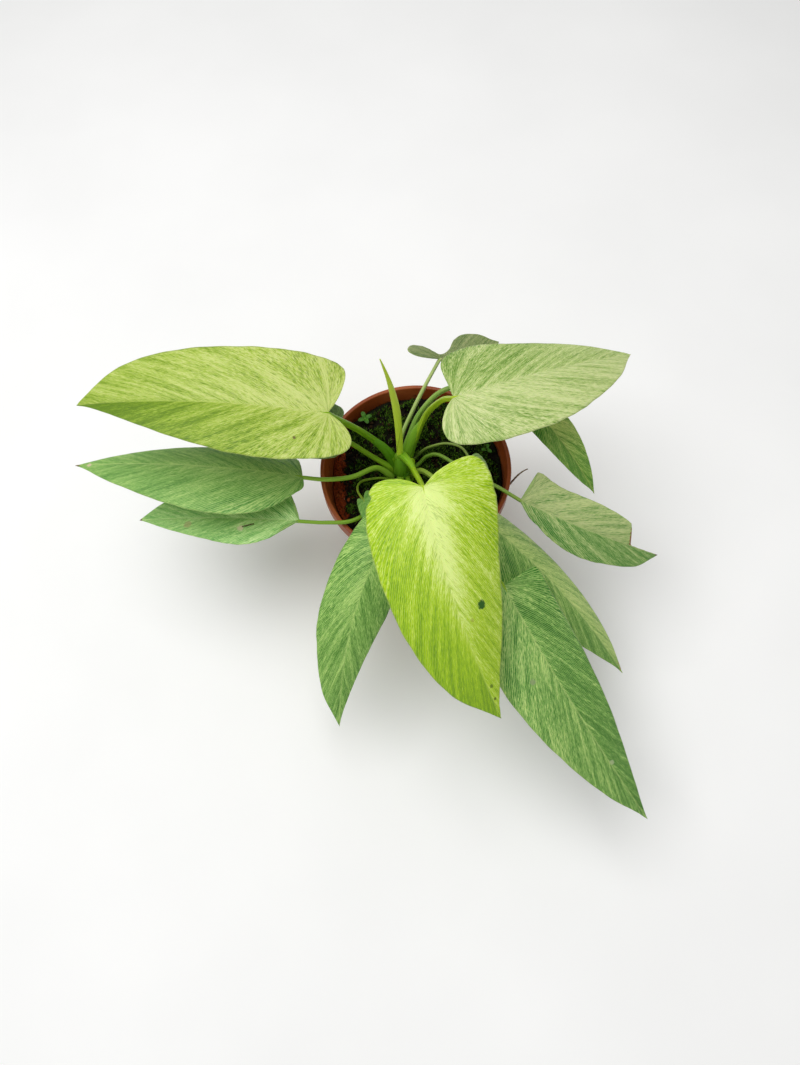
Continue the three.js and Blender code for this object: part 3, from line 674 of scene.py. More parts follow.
def bladeMaterial(name, leaf, look, skin, seed):
    material, tree = newMaterial(name)
    veins = addNode(tree, "ShaderNodeUVMap", {"uv_map": "veins"})
    plan = addNode(tree, "ShaderNodeUVMap", {"uv_map": "plan"})
    planParts = addNode(tree, "ShaderNodeSeparateXYZ", {}, {0: plan}).node.outputs
    place = addNode(tree, "ShaderNodeTexCoord", {}, {}, 3)
    cream = addNode(tree, "ShaderNodeAttribute", {"attribute_name": "cream"}, {}, 2)
    total = cream
    layers = {}
    for label, (across, along, detail, share) in skin["layers"].items():
        moved = addNode(tree, "ShaderNodeMapping", {}, {
            "Vector": veins, "Location": (seed * 3.7, seed * 1.9, 0),
            "Scale": (1 / across, 1 / along, 1)})
        layers[label] = addNode(tree, "ShaderNodeTexNoise", {"noise_dimensions": "2D"}, {
            "Vector": moved, "Scale": 1, "Detail": detail, "Roughness": 0.62, "Distortion": 0.25})
        if share:
            centred = addNode(tree, "ShaderNodeMath", {"operation": "SUBTRACT"}, {
                0: layers[label], 1: 0.5})
            total = addNode(tree, "ShaderNodeMath", {"operation": "MULTIPLY_ADD"}, {
                0: centred, 1: share * look["contrast"], 2: total})
    shades = look["shades"]
    colour = addNode(tree, "ShaderNodeValToRGB", {"stops": list(zip(skin["stops"], shades))}, {0: total})
    # dark dashes, in clumps where the broad bands are green
    clumped = addNode(tree, "ShaderNodeMath", {"operation": "MULTIPLY_ADD"}, {
        0: layers["bands"], 1: -0.55, 2: layers["dashes"]})
    dashes = addNode(tree, "ShaderNodeMapRange", smoothStep, {
        0: clumped, 1: 0.3, 2: 0.42, 3: 0.0, 4: look["dashShare"]})
    colour = addNode(tree, "ShaderNodeMix", colourMix, {0: dashes, 6: colour, 7: fromHex(shades[0])}, 2)
    # fine side veins, a touch paler than the tissue between them
    lines = addNode(tree, "ShaderNodeTexWave", {"wave_type": "BANDS"}, {
        "Vector": veins, "Scale": 0.314 / skin["veinSpacing"], "Distortion": 1.9, "Detail": 2,
        "Detail Scale": 0.25})
    thin = addNode(tree, "ShaderNodeMapRange", smoothStep, {
        0: lines, 1: 0.7, 2: 1.0, 3: 0.0, 4: look["lines"]})
    colour = addNode(tree, "ShaderNodeMix", colourMix, {0: thin, 6: colour, 7: fromHex(shades[3])}, 2)
    rib = addNode(tree, "ShaderNodeMapRange", smoothStep, {
        0: planParts[0], 1: 0.15, 2: 0.9, 3: look["ribLine"], 4: 0.0})
    colour = addNode(tree, "ShaderNodeMix", colourMix, {0: rib, 6: colour, 7: fromHex(shades[3])}, 2)
    edge = addNode(tree, "ShaderNodeMapRange", smoothStep, {
        0: planParts[1], 1: 0.975, 2: 1.0, 3: 0.0, 4: 0.35})
    colour = addNode(tree, "ShaderNodeMix", colourMix, {
        0: edge, 6: colour, 7: fromHex(skin["edge"])}, 2)
    ragged = addNode(tree, "ShaderNodeTexNoise", {}, {"Vector": place, "Scale": 900, "Detail": 2})
    for u, across, radius, shade, strength in look["spots"]:
        centre = spotPlace(leaf, u, across) * mm
        away = addNode(tree, "ShaderNodeVectorMath", {"operation": "DISTANCE"}, {
            0: place, 1: tuple(centre)}, 1)
        away = addNode(tree, "ShaderNodeMath", {"operation": "MULTIPLY_ADD"}, {
            0: ragged, 1: radius * mm * 0.9, 2: away})
        mask = addNode(tree, "ShaderNodeMapRange", smoothStep, {
            0: away, 1: radius * mm * 1.2, 2: radius * mm * 1.65, 3: strength, 4: 0.0})
        colour = addNode(tree, "ShaderNodeMix", colourMix, {0: mask, 6: colour, 7: fromHex(shade)}, 2)
    # the underside: paler and matter, with its side veins raised
    under = addNode(tree, "ShaderNodeAttribute", {"attribute_name": "underside"}, {}, 2)
    pale = addNode(tree, "ShaderNodeMath", {"operation": "MULTIPLY"}, {0: under, 1: 0.55})
    colour = addNode(tree, "ShaderNodeMix", colourMix, {
        0: pale, 6: colour, 7: fromHex(skin["underside"])}, 2)
    raised = addNode(tree, "ShaderNodeMapRange", smoothStep, {
        0: lines, 1: 0.55, 2: 0.95, 3: 0.0, 4: 0.6})
    raised = addNode(tree, "ShaderNodeMath", {"operation": "MULTIPLY"}, {0: raised, 1: under})
    colour = addNode(tree, "ShaderNodeMix", colourMix, {
        0: raised, 6: colour, 7: fromHex(skin["underVein"])}, 2)
    gloss = addNode(tree, "ShaderNodeMapRange", {}, {
        0: layers["streaks"], 1: 0.3, 2: 0.7, 3: skin["roughness"][0], 4: skin["roughness"][1]})
    height = addNode(tree, "ShaderNodeMath", {"operation": "MULTIPLY_ADD"}, {
        0: layers["flecks"], 1: 0.5, 2: lines})
    bump = addNode(tree, "ShaderNodeBump", {}, {"Strength": 0.35, "Distance": 0.00015, "Height": height})
    finishMaterial(tree, {
        "Base Color": colour, "Roughness": gloss, "Normal": bump, **flesh,
        "Subsurface Weight": 0.12, "Subsurface Scale": 0.0008})
    return material


# Stalks: a tube swept along a path of points, with a shallow groove on its upper side
def stalkTree():
    tree, given = newTree("stalkTube", {
        "Sides": "Int", "Groove": "Float", "Material": "Material"})
    curve = addNode(tree, "GeometryNodeMeshToCurve", {}, {"Mesh": given["Geometry"]})
    curve = addNode(tree, "GeometryNodeSetCurveNormal", {"mode": "Z_UP"}, {"Curve": curve})
    length = addNode(tree, "GeometryNodeSplineParameter", {}, {}, 1)
    curve = addNode(tree, "GeometryNodeStoreNamedAttribute", {"data_type": "FLOAT", "domain": "POINT"}, {
        "Geometry": curve, "Name": "lengthwise", "Value": length})
    share = addNode(tree, "GeometryNodeSplineParameter", {}, {}, 0)
    curve = addNode(tree, "GeometryNodeStoreNamedAttribute", {"data_type": "FLOAT", "domain": "POINT"}, {
        "Geometry": curve, "Name": "upwards", "Value": share})
    ring = addNode(tree, "GeometryNodeCurvePrimitiveCircle", {}, {
        "Resolution": given["Sides"], "Radius": 1})
    where = addNode(tree, "GeometryNodeInputPosition")
    parts = addNode(tree, "ShaderNodeSeparateXYZ", {}, {0: where}).node.outputs
    # the groove: the side of the ring that faces up is pushed in
    dip = addNode(tree, "ShaderNodeMapRange", smoothStep, {
        0: parts[0], 1: 0.6, 2: 1.0, 3: 0.0, 4: given["Groove"]})
    dip = addNode(tree, "ShaderNodeMath", {"operation": "MULTIPLY"}, {0: dip, 1: -1.0})
    push = addNode(tree, "ShaderNodeCombineXYZ", {}, {0: dip})
    ring = addNode(tree, "GeometryNodeStoreNamedAttribute", {
        "data_type": "FLOAT_VECTOR", "domain": "POINT"}, {
        "Geometry": ring, "Name": "round", "Value": where})
    ring = addNode(tree, "GeometryNodeSetPosition", {}, {"Geometry": ring, "Offset": push})
    girth = addNode(tree, "GeometryNodeInputNamedAttribute", {"data_type": "FLOAT"}, {"Name": "girth"})
    tube = addNode(tree, "GeometryNodeCurveToMesh", {}, {
        "Curve": curve, "Profile Curve": ring, "Scale": girth, "Fill Caps": True})
    endTree(tree, tube, given["Material"])
    return tree


tubeTree = stalkTree()


def tubeObject(name, path, girths, material, sides, groove=0.0):
    mesh = bpy.data.meshes.new(name + "Path")
    path = np.array(path, float) * mm
    mesh.from_pydata([tuple(p) for p in path], [(k, k + 1) for k in range(len(path) - 1)], [])
    storeValues(mesh, "girth", np.array(girths) * mm)
    host = newObject(name + "Path", mesh)
    return runTree(host, tubeTree, {"Sides": sides, "Groove": groove, "Material": material}, name)


crown = {
    "x": -9, "y": 0, "foot": 84, "soil": 93, "soilRadius": 6, "top": 123.5, "topRadius": 3.2,
    "segments": 40, "ringStep": 0.7, "scars": (0.12, 1.9), "bulgeLow": 118,
    "shades": ("#3a2c18", "#3f5414", "#4b7012", "#6c961e"),
}
stalkShape = {
    "gap": 0.3, "steps": 60, "sides": 16, "groove": 0.28, "ribSteps": 24, "ribReach": 0.86,
    "ribTip": 0.3, "ribDrop": 0.4, "sheathDrop": (15, 7), "sheathGirth": (1.9, 1.6, 1.15),
    "footReach": 3.2, "footSteps": 10, "flare": 12,
}


def ramp(value, start, end):
    # 0 at start, 1 at end, and level beyond them
    return min(max((value - start) / (end - start), 0), 1)


def crownRadius(z):
    share = ramp(z, crown["soil"], crown["top"])
    return crown["soilRadius"] + (crown["topRadius"] - crown["soilRadius"]) * share


def stalkPath(leaf, values):
    # up the crown as a sheath, out over the via points, then under the blade as the raised midrib
    thick, thin = leaf["radius"]
    level = leaf["level"]
    a = math.radians(leaf["azimuth"])
    outward = np.array((math.cos(a), math.sin(a), 0))
    axis = np.array((crown["x"], crown["y"], 0.0))
    skin = axis + outward * crownRadius(level) + (0, 0, level)
    lean = float(unit(np.array(leaf["via"][0]) - skin) @ outward)
    start = skin + outward * (values["gap"] + thick * math.sqrt(1 - lean**2))
    rib = midrib(leaf, np.array([0.0]))
    end = rib[0][0] - rib[3][0] * thin * 0.8
    share = np.arange(values["steps"] + 1) / values["steps"]
    way = smoothRows([start, *leaf["via"], end], share)
    girth = thin + (thick - thin) * (1 - share) ** 1.5
    # the foot starts inside the crown, widened into a sheath that narrows to the stalk
    low, mid = values["sheathDrop"]
    foot = [
        axis + outward * values["footReach"] + (0, 0, max(level - low, crown["foot"])),
        axis + outward * (crownRadius(level - mid) - 0.6) + (0, 0, max(level - mid, crown["foot"] + 4)),
    ]
    lead = smoothRows([foot[0], foot[1], way[0], way[3]], np.linspace(0, 0.62, values["footSteps"]))
    leadGirth = np.interp(
        np.linspace(0, 1, values["footSteps"]), [0, 0.5, 1], [thick * g for g in values["sheathGirth"]])
    flare = values["flare"]
    girth[:flare] *= np.interp(np.arange(flare), [0, flare - 1], [values["sheathGirth"][2], 1])
    # the rib lies under the groove of the midrib and thins out towards the tip
    u = values["ribReach"] * np.arange(1, values["ribSteps"] + 1) / values["ribSteps"]
    point, _, _, normal = midrib(leaf, u)
    ribGirth = thin + (values["ribTip"] - thin) * (np.arange(1, len(u) + 1) / len(u)) ** 0.7
    ribWay = point - normal * (ribGirth * 0.8 + values["ribDrop"])[:, None]
    path = np.vstack([lead[:-1], way[1:], ribWay])
    return path, np.concatenate([leadGirth[:-1], girth[1:], ribGirth])


# Leaf stalk: smooth, juicy stem tissue with a waxy skin; a little glossier than the blades and
# faintly lined lengthwise. It is deeper green at the foot and lighter towards the blade.
def stalkMaterial(name, low, high, seed, roughness=0.36):
    material, tree = newMaterial(name)
    rise = addNode(tree, "ShaderNodeAttribute", {"attribute_name": "upwards"}, {}, 2)
    length = addNode(tree, "ShaderNodeAttribute", {"attribute_name": "lengthwise"}, {}, 2)
    around = addNode(tree, "ShaderNodeAttribute", {"attribute_name": "round"}, {}, 1)
    far = addNode(tree, "ShaderNodeMath", {"operation": "MULTIPLY"}, {0: length, 1: 60.0})
    push = addNode(tree, "ShaderNodeCombineXYZ", {}, {0: seed * 1.7, 2: far})
    lined = addNode(tree, "ShaderNodeVectorMath", {"operation": "MULTIPLY_ADD"}, {
        0: around, 1: (2.5, 2.5, 0), 2: push})
    lines = addNode(tree, "ShaderNodeTexNoise", {}, {"Vector": lined, "Scale": 1.2, "Detail": 3})
    shift = addNode(tree, "ShaderNodeMath", {"operation": "SUBTRACT"}, {0: lines, 1: 0.5})
    shade = addNode(tree, "ShaderNodeMath", {"operation": "MULTIPLY_ADD"}, {0: shift, 1: 1.1, 2: rise})
    middle = "#" + "".join(
        f"{(int(low[k:k + 2], 16) + int(high[k:k + 2], 16)) // 2:02x}" for k in (1, 3, 5))
    colour = addNode(tree, "ShaderNodeValToRGB", {
        "stops": [(0.02, low), (0.3, middle), (0.75, high)]}, {0: shade})
    bump = addNode(tree, "ShaderNodeBump", {}, {"Strength": 0.3, "Distance": 0.0002, "Height": lines})
    gloss = addNode(tree, "ShaderNodeMapRange", {}, {
        0: lines, 1: 0.3, 2: 0.7, 3: roughness - 0.05, 4: roughness + 0.1})
    finishMaterial(tree, {
        "Base Color": colour, "Roughness": gloss, "Normal": bump, **flesh,
        "Subsurface Weight": 0.15, "Subsurface Scale": 0.001})
    return material


for seed, name in enumerate(leaves):
    leaf, look = {**plainLeaf, **leaves[name]}, {**plainLook, **looks[name]}
    skin = bladeMaterial(name.replace("leaf_", "leafBlade_"), leaf, look, bladeSkin, seed + 1)
    keepPiece(bladeObject(name + "_blade", leaf, look, skin, bladeMesh), look["slot"], name)
    path, girth = stalkPath(leaf, stalkShape)
    skin = stalkMaterial(name.replace("leaf_", "leafStalk_"), *look["stalk"], seed)
    piece = tubeObject(name + "_stalk", path, girth, skin, stalkShape["sides"], stalkShape["groove"])
    keepPiece(piece, look["slot"], name)
print("leaves and stalks made")


# Sheaths: the widened feet of older stalks, which wrap the younger ones where they leave the crown
sheaths = {
    "sheath_back_right": {
        "way": [(-6.2, 1.7, 96), (-4.6, 4.8, 107), (-1.8, 9.4, 116.5), (2.0, 13.6, 125),
                (5.4, 16.2, 132)],
        "girths": [3.6, 4.0, 3.9, 3.2, 1.5], "shades": ("#45740e", "#6c9820"), "node": "leaf_top_right",
        "slot": "leaf_lime",
    },
    "sheath_front_leaf": {
        "way": [(-9.2, 0.6, 117), (-8.4, -0.8, 122.0), (-6, -4.2, 124), (-3.3, -9.4, 125.6),
                (-2.2, -15, 131)],
        "girths": [2.6, 3.0, 2.7, 2.3, 1.7], "shades": ("#5f9416", "#83b01e"), "node": "leaf_front",
        "slot": "leaf_yellow_green",
    },
    "sheath_middle": {
        "way": [(-9, -1.2, 94), (-8.7, -2.6, 104), (-8.6, -2.2, 113), (-8.8, -0.6, 120.5)],
        "girths": [4.6, 5.1, 4.5, 2.9], "shades": ("#44750c", "#5f921a"),
        "node": "crown", "slot": "crown",
    },
    "sheath_front_low": {
        "way": [(-9.8, -5.2, 89), (-10, -7.2, 95), (-9.6, -6.6, 102), (-9.2, -4.4, 108)],
        "girths": [2.7, 2.9, 2.6, 1.9], "shades": ("#7ba628", "#8db636"), "node": "leaf_front_left",
        "slot": "leaf_green",
    },
    "sheath_left": {
        "way": [(-11, 1.4, 96), (-12.6, 4, 103), (-15.4, 7, 110), (-20, 9.6, 117), (-25, 10.5, 124)],
        "girths": [3.3, 3.7, 3.4, 2.9, 1.9], "shades": ("#44770e", "#578a14"), "node": "leaf_top_left",
        "slot": "leaf_lime",
    },
}
sheathTube = {"steps": 40, "sides": 20, "groove": 0.2}
for seed, (name, sheath) in enumerate(sheaths.items()):
    share = np.linspace(0, 1, sheathTube["steps"])
    way = smoothRows(sheath["way"], share)
    girth = smoothRows([(g,) for g in sheath["girths"]], share)[:, 0]
    skin = stalkMaterial(name.replace("sheath_", "leafSheath_"), *sheath["shades"], 40 + seed)
    piece = tubeObject(name, way, girth, skin, sheathTube["sides"], sheathTube["groove"])
    keepPiece(piece, sheath["slot"], sheath["node"])
print("sheaths made")

# New leaf: still rolled up, so its section is a scroll whose free edge winds slowly round it
newLeaf = {
    "path": [(-9.2, -0.3, 124), (-8.4, 1.6, 156), (-9.4, 3, 186), (-16.4, 5.2, 214.9)],
    "radii": [2.0, 2.3, 1.9, 0.3], "steps": 90, "sides": 28, "step": 0.16, "twist": 1.1,
    "sunk": 0.06, "shades": ("#bfe03a", "#b8cf3c"), "roughness": 0.33,
}


def bezier(path, t):
    a, b, c, d = [np.array(p, float) for p in path]
    t = t[:, None]
    return a * (1 - t) ** 3 + 3 * b * t * (1 - t) ** 2 + 3 * c * t**2 * (1 - t) + d * t**3


def rolledLeaf(values):
    t = np.linspace(-values["sunk"], 1, values["steps"])
    path = bezier(values["path"], t)
    radii = smoothRows([(r,) for r in values["radii"]], t)[:, 0]
    tangent = unit(np.gradient(path, axis=0))
    across = unit(np.cross(tangent, (0, 1.0, 0)))
    other = np.cross(tangent, across)
    sides = values["sides"]
    points, faces = [], []
    for k in range(len(t)):
        for i in range(sides):
            share = i / (sides - 1)
            a = 2 * math.pi * (share + values["twist"] * t[k])
            r = radii[k] * (1 - values["step"] * (1 - share) * min(1, radii[k]))
            points.append(path[k] + across[k] * r * math.cos(a) + other[k] * r * math.sin(a))
    for k in range(len(t) - 1):
        for i in range(sides):
            a, b = k * sides + i, k * sides + (i + 1) % sides
            faces.append([a, b, b + sides, a + sides])
    last = (len(t) - 1) * sides
    faces.append(list(range(sides))[::-1])
    faces.append(list(range(last, last + sides)))
    mesh = meshFrom("new_leaf_roll", np.array(points) * mm, faces)
    turnOutward(mesh)
    storeValues(mesh, "upwards", np.repeat(np.clip(t, 0, 1), sides))
    storeValues(mesh, "lengthwise", np.repeat(np.clip(t, 0, 1) * 0.09, sides))
    turn = np.tile(np.arange(sides) / (sides - 1) * 2 * math.pi, len(t))
    attribute = mesh.attributes.new("round", "FLOAT_VECTOR", "POINT")
    attribute.data.foreach_set(
        "vector", np.stack([np.cos(turn), np.sin(turn), 0 * turn], 1).astype(np.float32).ravel())
    return mesh


rollMesh = rolledLeaf(newLeaf)
rollMesh.materials.append(stalkMaterial("rolledLeaf", *newLeaf["shades"], 31, newLeaf["roughness"]))
keepPiece(newObject("new_leaf_roll", rollMesh), "new_leaf", "new_leaf")


# A turned body: rings of points round an axis, with an uneven radius where wobble is given
def turnedMesh(name, outline, segments, centre=(0, 0), wobble=None):
    points, faces, rings = [], [], []
    for r, z in outline:
        rings.append(len(points))
        count = segments if r > 0 else 1
        for i in range(count):
            a = 2 * math.pi * i / segments
            reach = r + (wobble(a, z) if wobble and r > 0 else 0)
            points.append((centre[0] + reach * math.cos(a), centre[1] + reach * math.sin(a), z))
    for k in range(len(outline) - 1):
        below, above = outline[k][0] > 0, outline[k + 1][0] > 0
        for i in range(segments):
            n = (i + 1) % segments
            a, b = rings[k] + (i if below else 0), rings[k] + (n if below else 0)
            c, d = rings[k + 1] + (n if above else 0), rings[k + 1] + (i if above else 0)
            faces.append(list(dict.fromkeys((a, b, c, d))))
    mesh = meshFrom(name, np.array(points, float) * mm, faces)
    turnOutward(mesh)
    return mesh


# Crown: the short stem inside the sheaths, ringed with old leaf scars. Stem tissue: green and fleshy
# above, brown and corky where it meets the potting mix.
def crownMaterial():
    material, tree = newMaterial("stemTissue")
    place = addNode(tree, "ShaderNodeTexCoord", {}, {}, 3)
    height = addNode(tree, "ShaderNodeSeparateXYZ", {}, {0: place}, 2)
    patch = addNode(tree, "ShaderNodeTexNoise", {}, {"Vector": place, "Scale": 350, "Detail": 4})
    moved = addNode(tree, "ShaderNodeMath", {"operation": "MULTIPLY_ADD"}, {
        0: patch, 1: 0.008, 2: height})
    rise = addNode(tree, "ShaderNodeMapRange", {}, {0: moved, 1: 0.095, 2: 0.124, 3: 0.0, 4: 1.0})
    colour = addNode(tree, "ShaderNodeValToRGB", {
        "stops": list(zip((0.0, 0.22, 0.55, 0.9), crown["shades"]))}, {0: rise})
    bump = addNode(tree, "ShaderNodeBump", {}, {"Strength": 0.4, "Distance": 0.0004, "Height": patch})
    finishMaterial(tree, {
        "Base Color": colour, "Roughness": 0.5, "Normal": bump, **flesh})
    return material


def crownOutline():
    low, (depth, turns) = crown["foot"] + 0.5, crown["scars"]
    heights = np.arange(low, crown["top"] - 1.4, crown["ringStep"])
    rings = [(crownRadius(z) + depth * math.sin(z * turns), z) for z in heights]
    return [(0, low), *rings, (2.9, crown["top"] - 0.9), (2.4, crown["top"]), (0, crown["top"])]


def crownBulge(a, z):
    # the bulges of old leaf bases, a little inside the CAD model's post
    bulge = 0.25 * math.sin(3 * a + z * 0.2) + 0.12 * math.sin(7 * a - z * 0.3)
    return bulge - 0.4 - 0.6 * (z < crown["bulgeLow"])


crownMesh = turnedMesh(
    "crown_stem", crownOutline(), crown["segments"], (crown["x"], crown["y"]), crownBulge)
crownMesh.materials.append(crownMaterial())
keepPiece(newObject("crown_stem", crownMesh), "crown", "crown")
print("crown and new leaf made")

# Pot
pot = {
    "rim": 60, "height": 105, "base": 44, "wall": 1.8, "floor": 5, "segments": 128, "filletSteps": 4,
    "lipHeight": 11, "lipOut": 2.4, "lipThickness": 2.5, "footHeight": 3, "footInner": 36, "pad": 14,
    "drains": 8, "drainRing": 25, "drainRadius": 3.5, "sharp": 40,
    "shades": ("#702d0e", "#8e4119", "#a35224"), "dust": "#b07a4a", "crust": "#ad5520",
    "dirt": "#341b0d", "splashed": (89, 101), "crusted": (-62, -52), "mouldRings": 1.6,
}


def wallRadius(z):
    flare = pot["rim"] - pot["lipOut"] - pot["base"]
    return pot["base"] + flare * z / (pot["height"] - pot["lipHeight"])


def innerRadius(z):
    return wallRadius(z) - pot["wall"]


def rounded(corners, steps):
    # corners are (r, z, fillet): each is replaced by a short arc
    outline = []
    for k, (r, z, fillet) in enumerate(corners):
        if not fillet or k in (0, len(corners) - 1):
            outline.append((r, z))
            continue
        here = Vector((r, z))
        before = (Vector(corners[k - 1][:2]) - here).normalized() * fillet
        after = (Vector(corners[k + 1][:2]) - here).normalized() * fillet
        for i in range(steps + 1):
            t = i / steps
            p = here + before * (1 - t) ** 2 + after * t**2
            outline.append((p.x, p.y))
    return outline


def makePot():
    under = pot["height"] - pot["lipHeight"]
    top, rim, thick, floor = pot["height"], pot["rim"], pot["lipThickness"], pot["floor"]
    corners = [
        (0, 0, 0), (pot["pad"], 0, 0.5), (pot["pad"] + 1, pot["footHeight"], 0.6),
        (pot["footInner"] - 1, pot["footHeight"], 0.6), (pot["footInner"], 0, 0.5),
        (pot["base"], 0, 1.4), (wallRadius(under - 0.3), under - 0.3, 0.5), (rim, under - 0.1, 0.7),
        (rim, top, 0.9), (rim - thick, top, 0.9), (innerRadius(under), under - 1, 2),
        (innerRadius(floor), floor, 2), (0, floor, 0),
    ]
    outline = rounded(corners, pot["filletSteps"])
    body = newObject("pot_body", turnedMesh("pot_body", outline, pot["segments"]))
    cutters = []
    for k in range(pot["drains"]):
        a = 2 * math.pi * (k + 0.5) / pot["drains"]
        place = (pot["drainRing"] * math.cos(a), pot["drainRing"] * math.sin(a))
        r = pot["drainRadius"]
        drill = [(0, -2), (r, -2), (r, floor + 3), (0, floor + 3)]
        cutter = newObject("cutter", turnedMesh("cutter", drill, 24, place))
        cut = body.modifiers.new("drain", "BOOLEAN")
        cut.object = cutter
        cut.solver = "EXACT"
        cutters.append(cutter)
    graph = bpy.context.evaluated_depsgraph_get()
    mesh = bpy.data.meshes.new_from_object(body.evaluated_get(graph), depsgraph=graph)
    for piece in [body] + cutters:
        bpy.data.objects.remove(piece)
    mesh.set_sharp_from_angle(angle=math.radians(pot["sharp"]))
    mesh.materials.clear()
    mesh.materials.append(potMaterial())
    return newObject("pot_body", mesh)


# Pot: injection-moulded polypropylene. Satin, with faint rings from turning of the mould, fine
# scratches, dust on the outside and dried potting mix inside the rim.
def potMaterial():
    material, tree = newMaterial("mouldedPolypropylene")
    place = addNode(tree, "ShaderNodeTexCoord", {}, {}, 3)
    height = addNode(tree, "ShaderNodeSeparateXYZ", {}, {0: place}, 2)
    broad = addNode(tree, "ShaderNodeTexNoise", {}, {"Vector": place, "Scale": 28, "Detail": 4})
    fine = addNode(tree, "ShaderNodeTexNoise", {}, {"Vector": place, "Scale": 1400, "Detail": 3})
    mixed = addNode(tree, "ShaderNodeMath", {"operation": "MULTIPLY_ADD"}, {0: fine, 1: 0.35, 2: broad})
    colour = addNode(tree, "ShaderNodeValToRGB", {
        "stops": list(zip((0.35, 0.66, 0.97), pot["shades"]))}, {0: mixed})
    # the wall's inside is the part nearer the axis than the middle of the wall
    flat = addNode(tree, "ShaderNodeVectorMath", {"operation": "MULTIPLY"}, {0: place, 1: (1, 1, 0)})
    radius = addNode(tree, "ShaderNodeVectorMath", {"operation": "LENGTH"}, {0: flat}, 1)
    slope = (pot["rim"] - pot["lipOut"] - pot["base"]) / (pot["height"] - pot["lipHeight"])
    wall = addNode(tree, "ShaderNodeMath", {"operation": "MULTIPLY_ADD"}, {
        0: height, 1: slope, 2: (pot["base"] - pot["wall"] / 2) * mm})
    depth = addNode(tree, "ShaderNodeMath", {"operation": "SUBTRACT"}, {0: wall, 1: radius})
    inside = addNode(tree, "ShaderNodeMapRange", {}, {0: depth, 1: 0.0, 2: 0.0006, 3: 0.0, 4: 1.0})
    # dried splashes of potting mix, thicker towards the mix
    splash = addNode(tree, "ShaderNodeTexNoise", {}, {
        "Vector": place, "Scale": 160, "Detail": 5, "Roughness": 0.7})
    bottom, top = pot["splashed"]
    low = addNode(tree, "ShaderNodeMapRange", {}, {
        0: height, 1: bottom * mm, 2: top * mm, 3: 0.22, 4: -0.12})
    dirt = addNode(tree, "ShaderNodeMath", {"operation": "ADD"}, {0: splash, 1: low})
    dirt = addNode(tree, "ShaderNodeMapRange", smoothStep, {
        0: dirt, 1: 0.52, 2: 0.72, 3: 0.0, 4: 0.85})
    dirt = addNode(tree, "ShaderNodeMath", {"operation": "MULTIPLY"}, {0: dirt, 1: inside})
    colour = addNode(tree, "ShaderNodeMix", colourMix, {
        0: dirt, 6: colour, 7: fromHex(pot["dirt"])}, 2)
    # a red-brown crust on the left of the inside
    aside = addNode(tree, "ShaderNodeSeparateXYZ", {}, {0: place}, 0)
    crust = addNode(tree, "ShaderNodeMath", {"operation": "MULTIPLY_ADD"}, {
        0: splash, 1: -0.02, 2: aside})
    crust = addNode(tree, "ShaderNodeMapRange", smoothStep, {
        0: crust, 1: pot["crusted"][0] * mm, 2: pot["crusted"][1] * mm, 3: 0.8, 4: 0.0})
    crust = addNode(tree, "ShaderNodeMath", {"operation": "MULTIPLY"}, {0: crust, 1: inside})
    colour = addNode(tree, "ShaderNodeMix", colourMix, {
        0: crust, 6: colour, 7: fromHex(pot["crust"])}, 2)
    dust = addNode(tree, "ShaderNodeMapRange", smoothStep, {
        0: broad, 1: 0.5, 2: 0.8, 3: 0.0, 4: 0.16})
    colour = addNode(tree, "ShaderNodeMix", colourMix, {
        0: dust, 6: colour, 7: fromHex(pot["dust"])}, 2)
    rings = addNode(tree, "ShaderNodeTexWave", {"bands_direction": "Z"}, {
        "Vector": place, "Scale": 0.314 / (pot["mouldRings"] * mm), "Distortion": 0.6, "Detail": 1})
    bumps = addNode(tree, "ShaderNodeMath", {"operation": "MULTIPLY_ADD"}, {0: rings, 1: 0.25, 2: fine})
    bump = addNode(tree, "ShaderNodeBump", {}, {"Strength": 0.25, "Distance": 0.0001, "Height": bumps})
    gloss = addNode(tree, "ShaderNodeMapRange", {}, {0: mixed, 1: 0.4, 2: 0.9, 3: 0.32, 4: 0.55})
    rough = addNode(tree, "ShaderNodeMath", {"operation": "MULTIPLY_ADD"}, {0: dirt, 1: 0.4, 2: gloss})
    finishMaterial(tree, {
        "Base Color": colour, "Roughness": rough, "Normal": bump, "IOR": 1.49,
        "Specular IOR Level": 0.35})
    return material


keepPiece(makePot(), "pot", "pot")
print("pot made")

# Potting mix
mix = {
    "level": 93, "clearance": 0.3, "rings": 84, "segments": 220, "relief": 0.8, "edgeDrop": 2,
    "hollow": (-38, 16, 26, 9), "mound": (1.5, 16), "lumps": 2.6, "grain": 0.9, "mossRise": 2.6,
    "backRise": 2.8, "upperFrom": 90, "dried": (-39.5, -36.5), "rust": ("#5c230a", "#8c3812", "#ae4f1e"),
    # soil: the moist peat's own near-black brown, darkened further as painted shade from the leaves
    # above
    "soil": ("#070502", "#0f0b05", "#1a1309", "#2c2010"), "algae": ("#080e02", "#121d05", "#24350b"),
}


def mixHeight(x, y):
    lumps = math.sin(0.31 * x + 1) * math.cos(0.27 * y) + 0.6 * math.sin(0.52 * y - 0.38 * x)
    edge, run, reach, depth = mix["hollow"]
    sunk = depth * ramp(x, edge, edge - run) * math.exp(-((y / reach) ** 2))
    height, spread = mix["mound"]
    away = ((x - crown["x"]) ** 2 + (y - crown["y"]) ** 2) / spread**2
    back = mix["backRise"] * ramp(y, 8, 48)
    return mix["level"] + mix["relief"] * lumps - sunk + back + height * math.exp(-away)


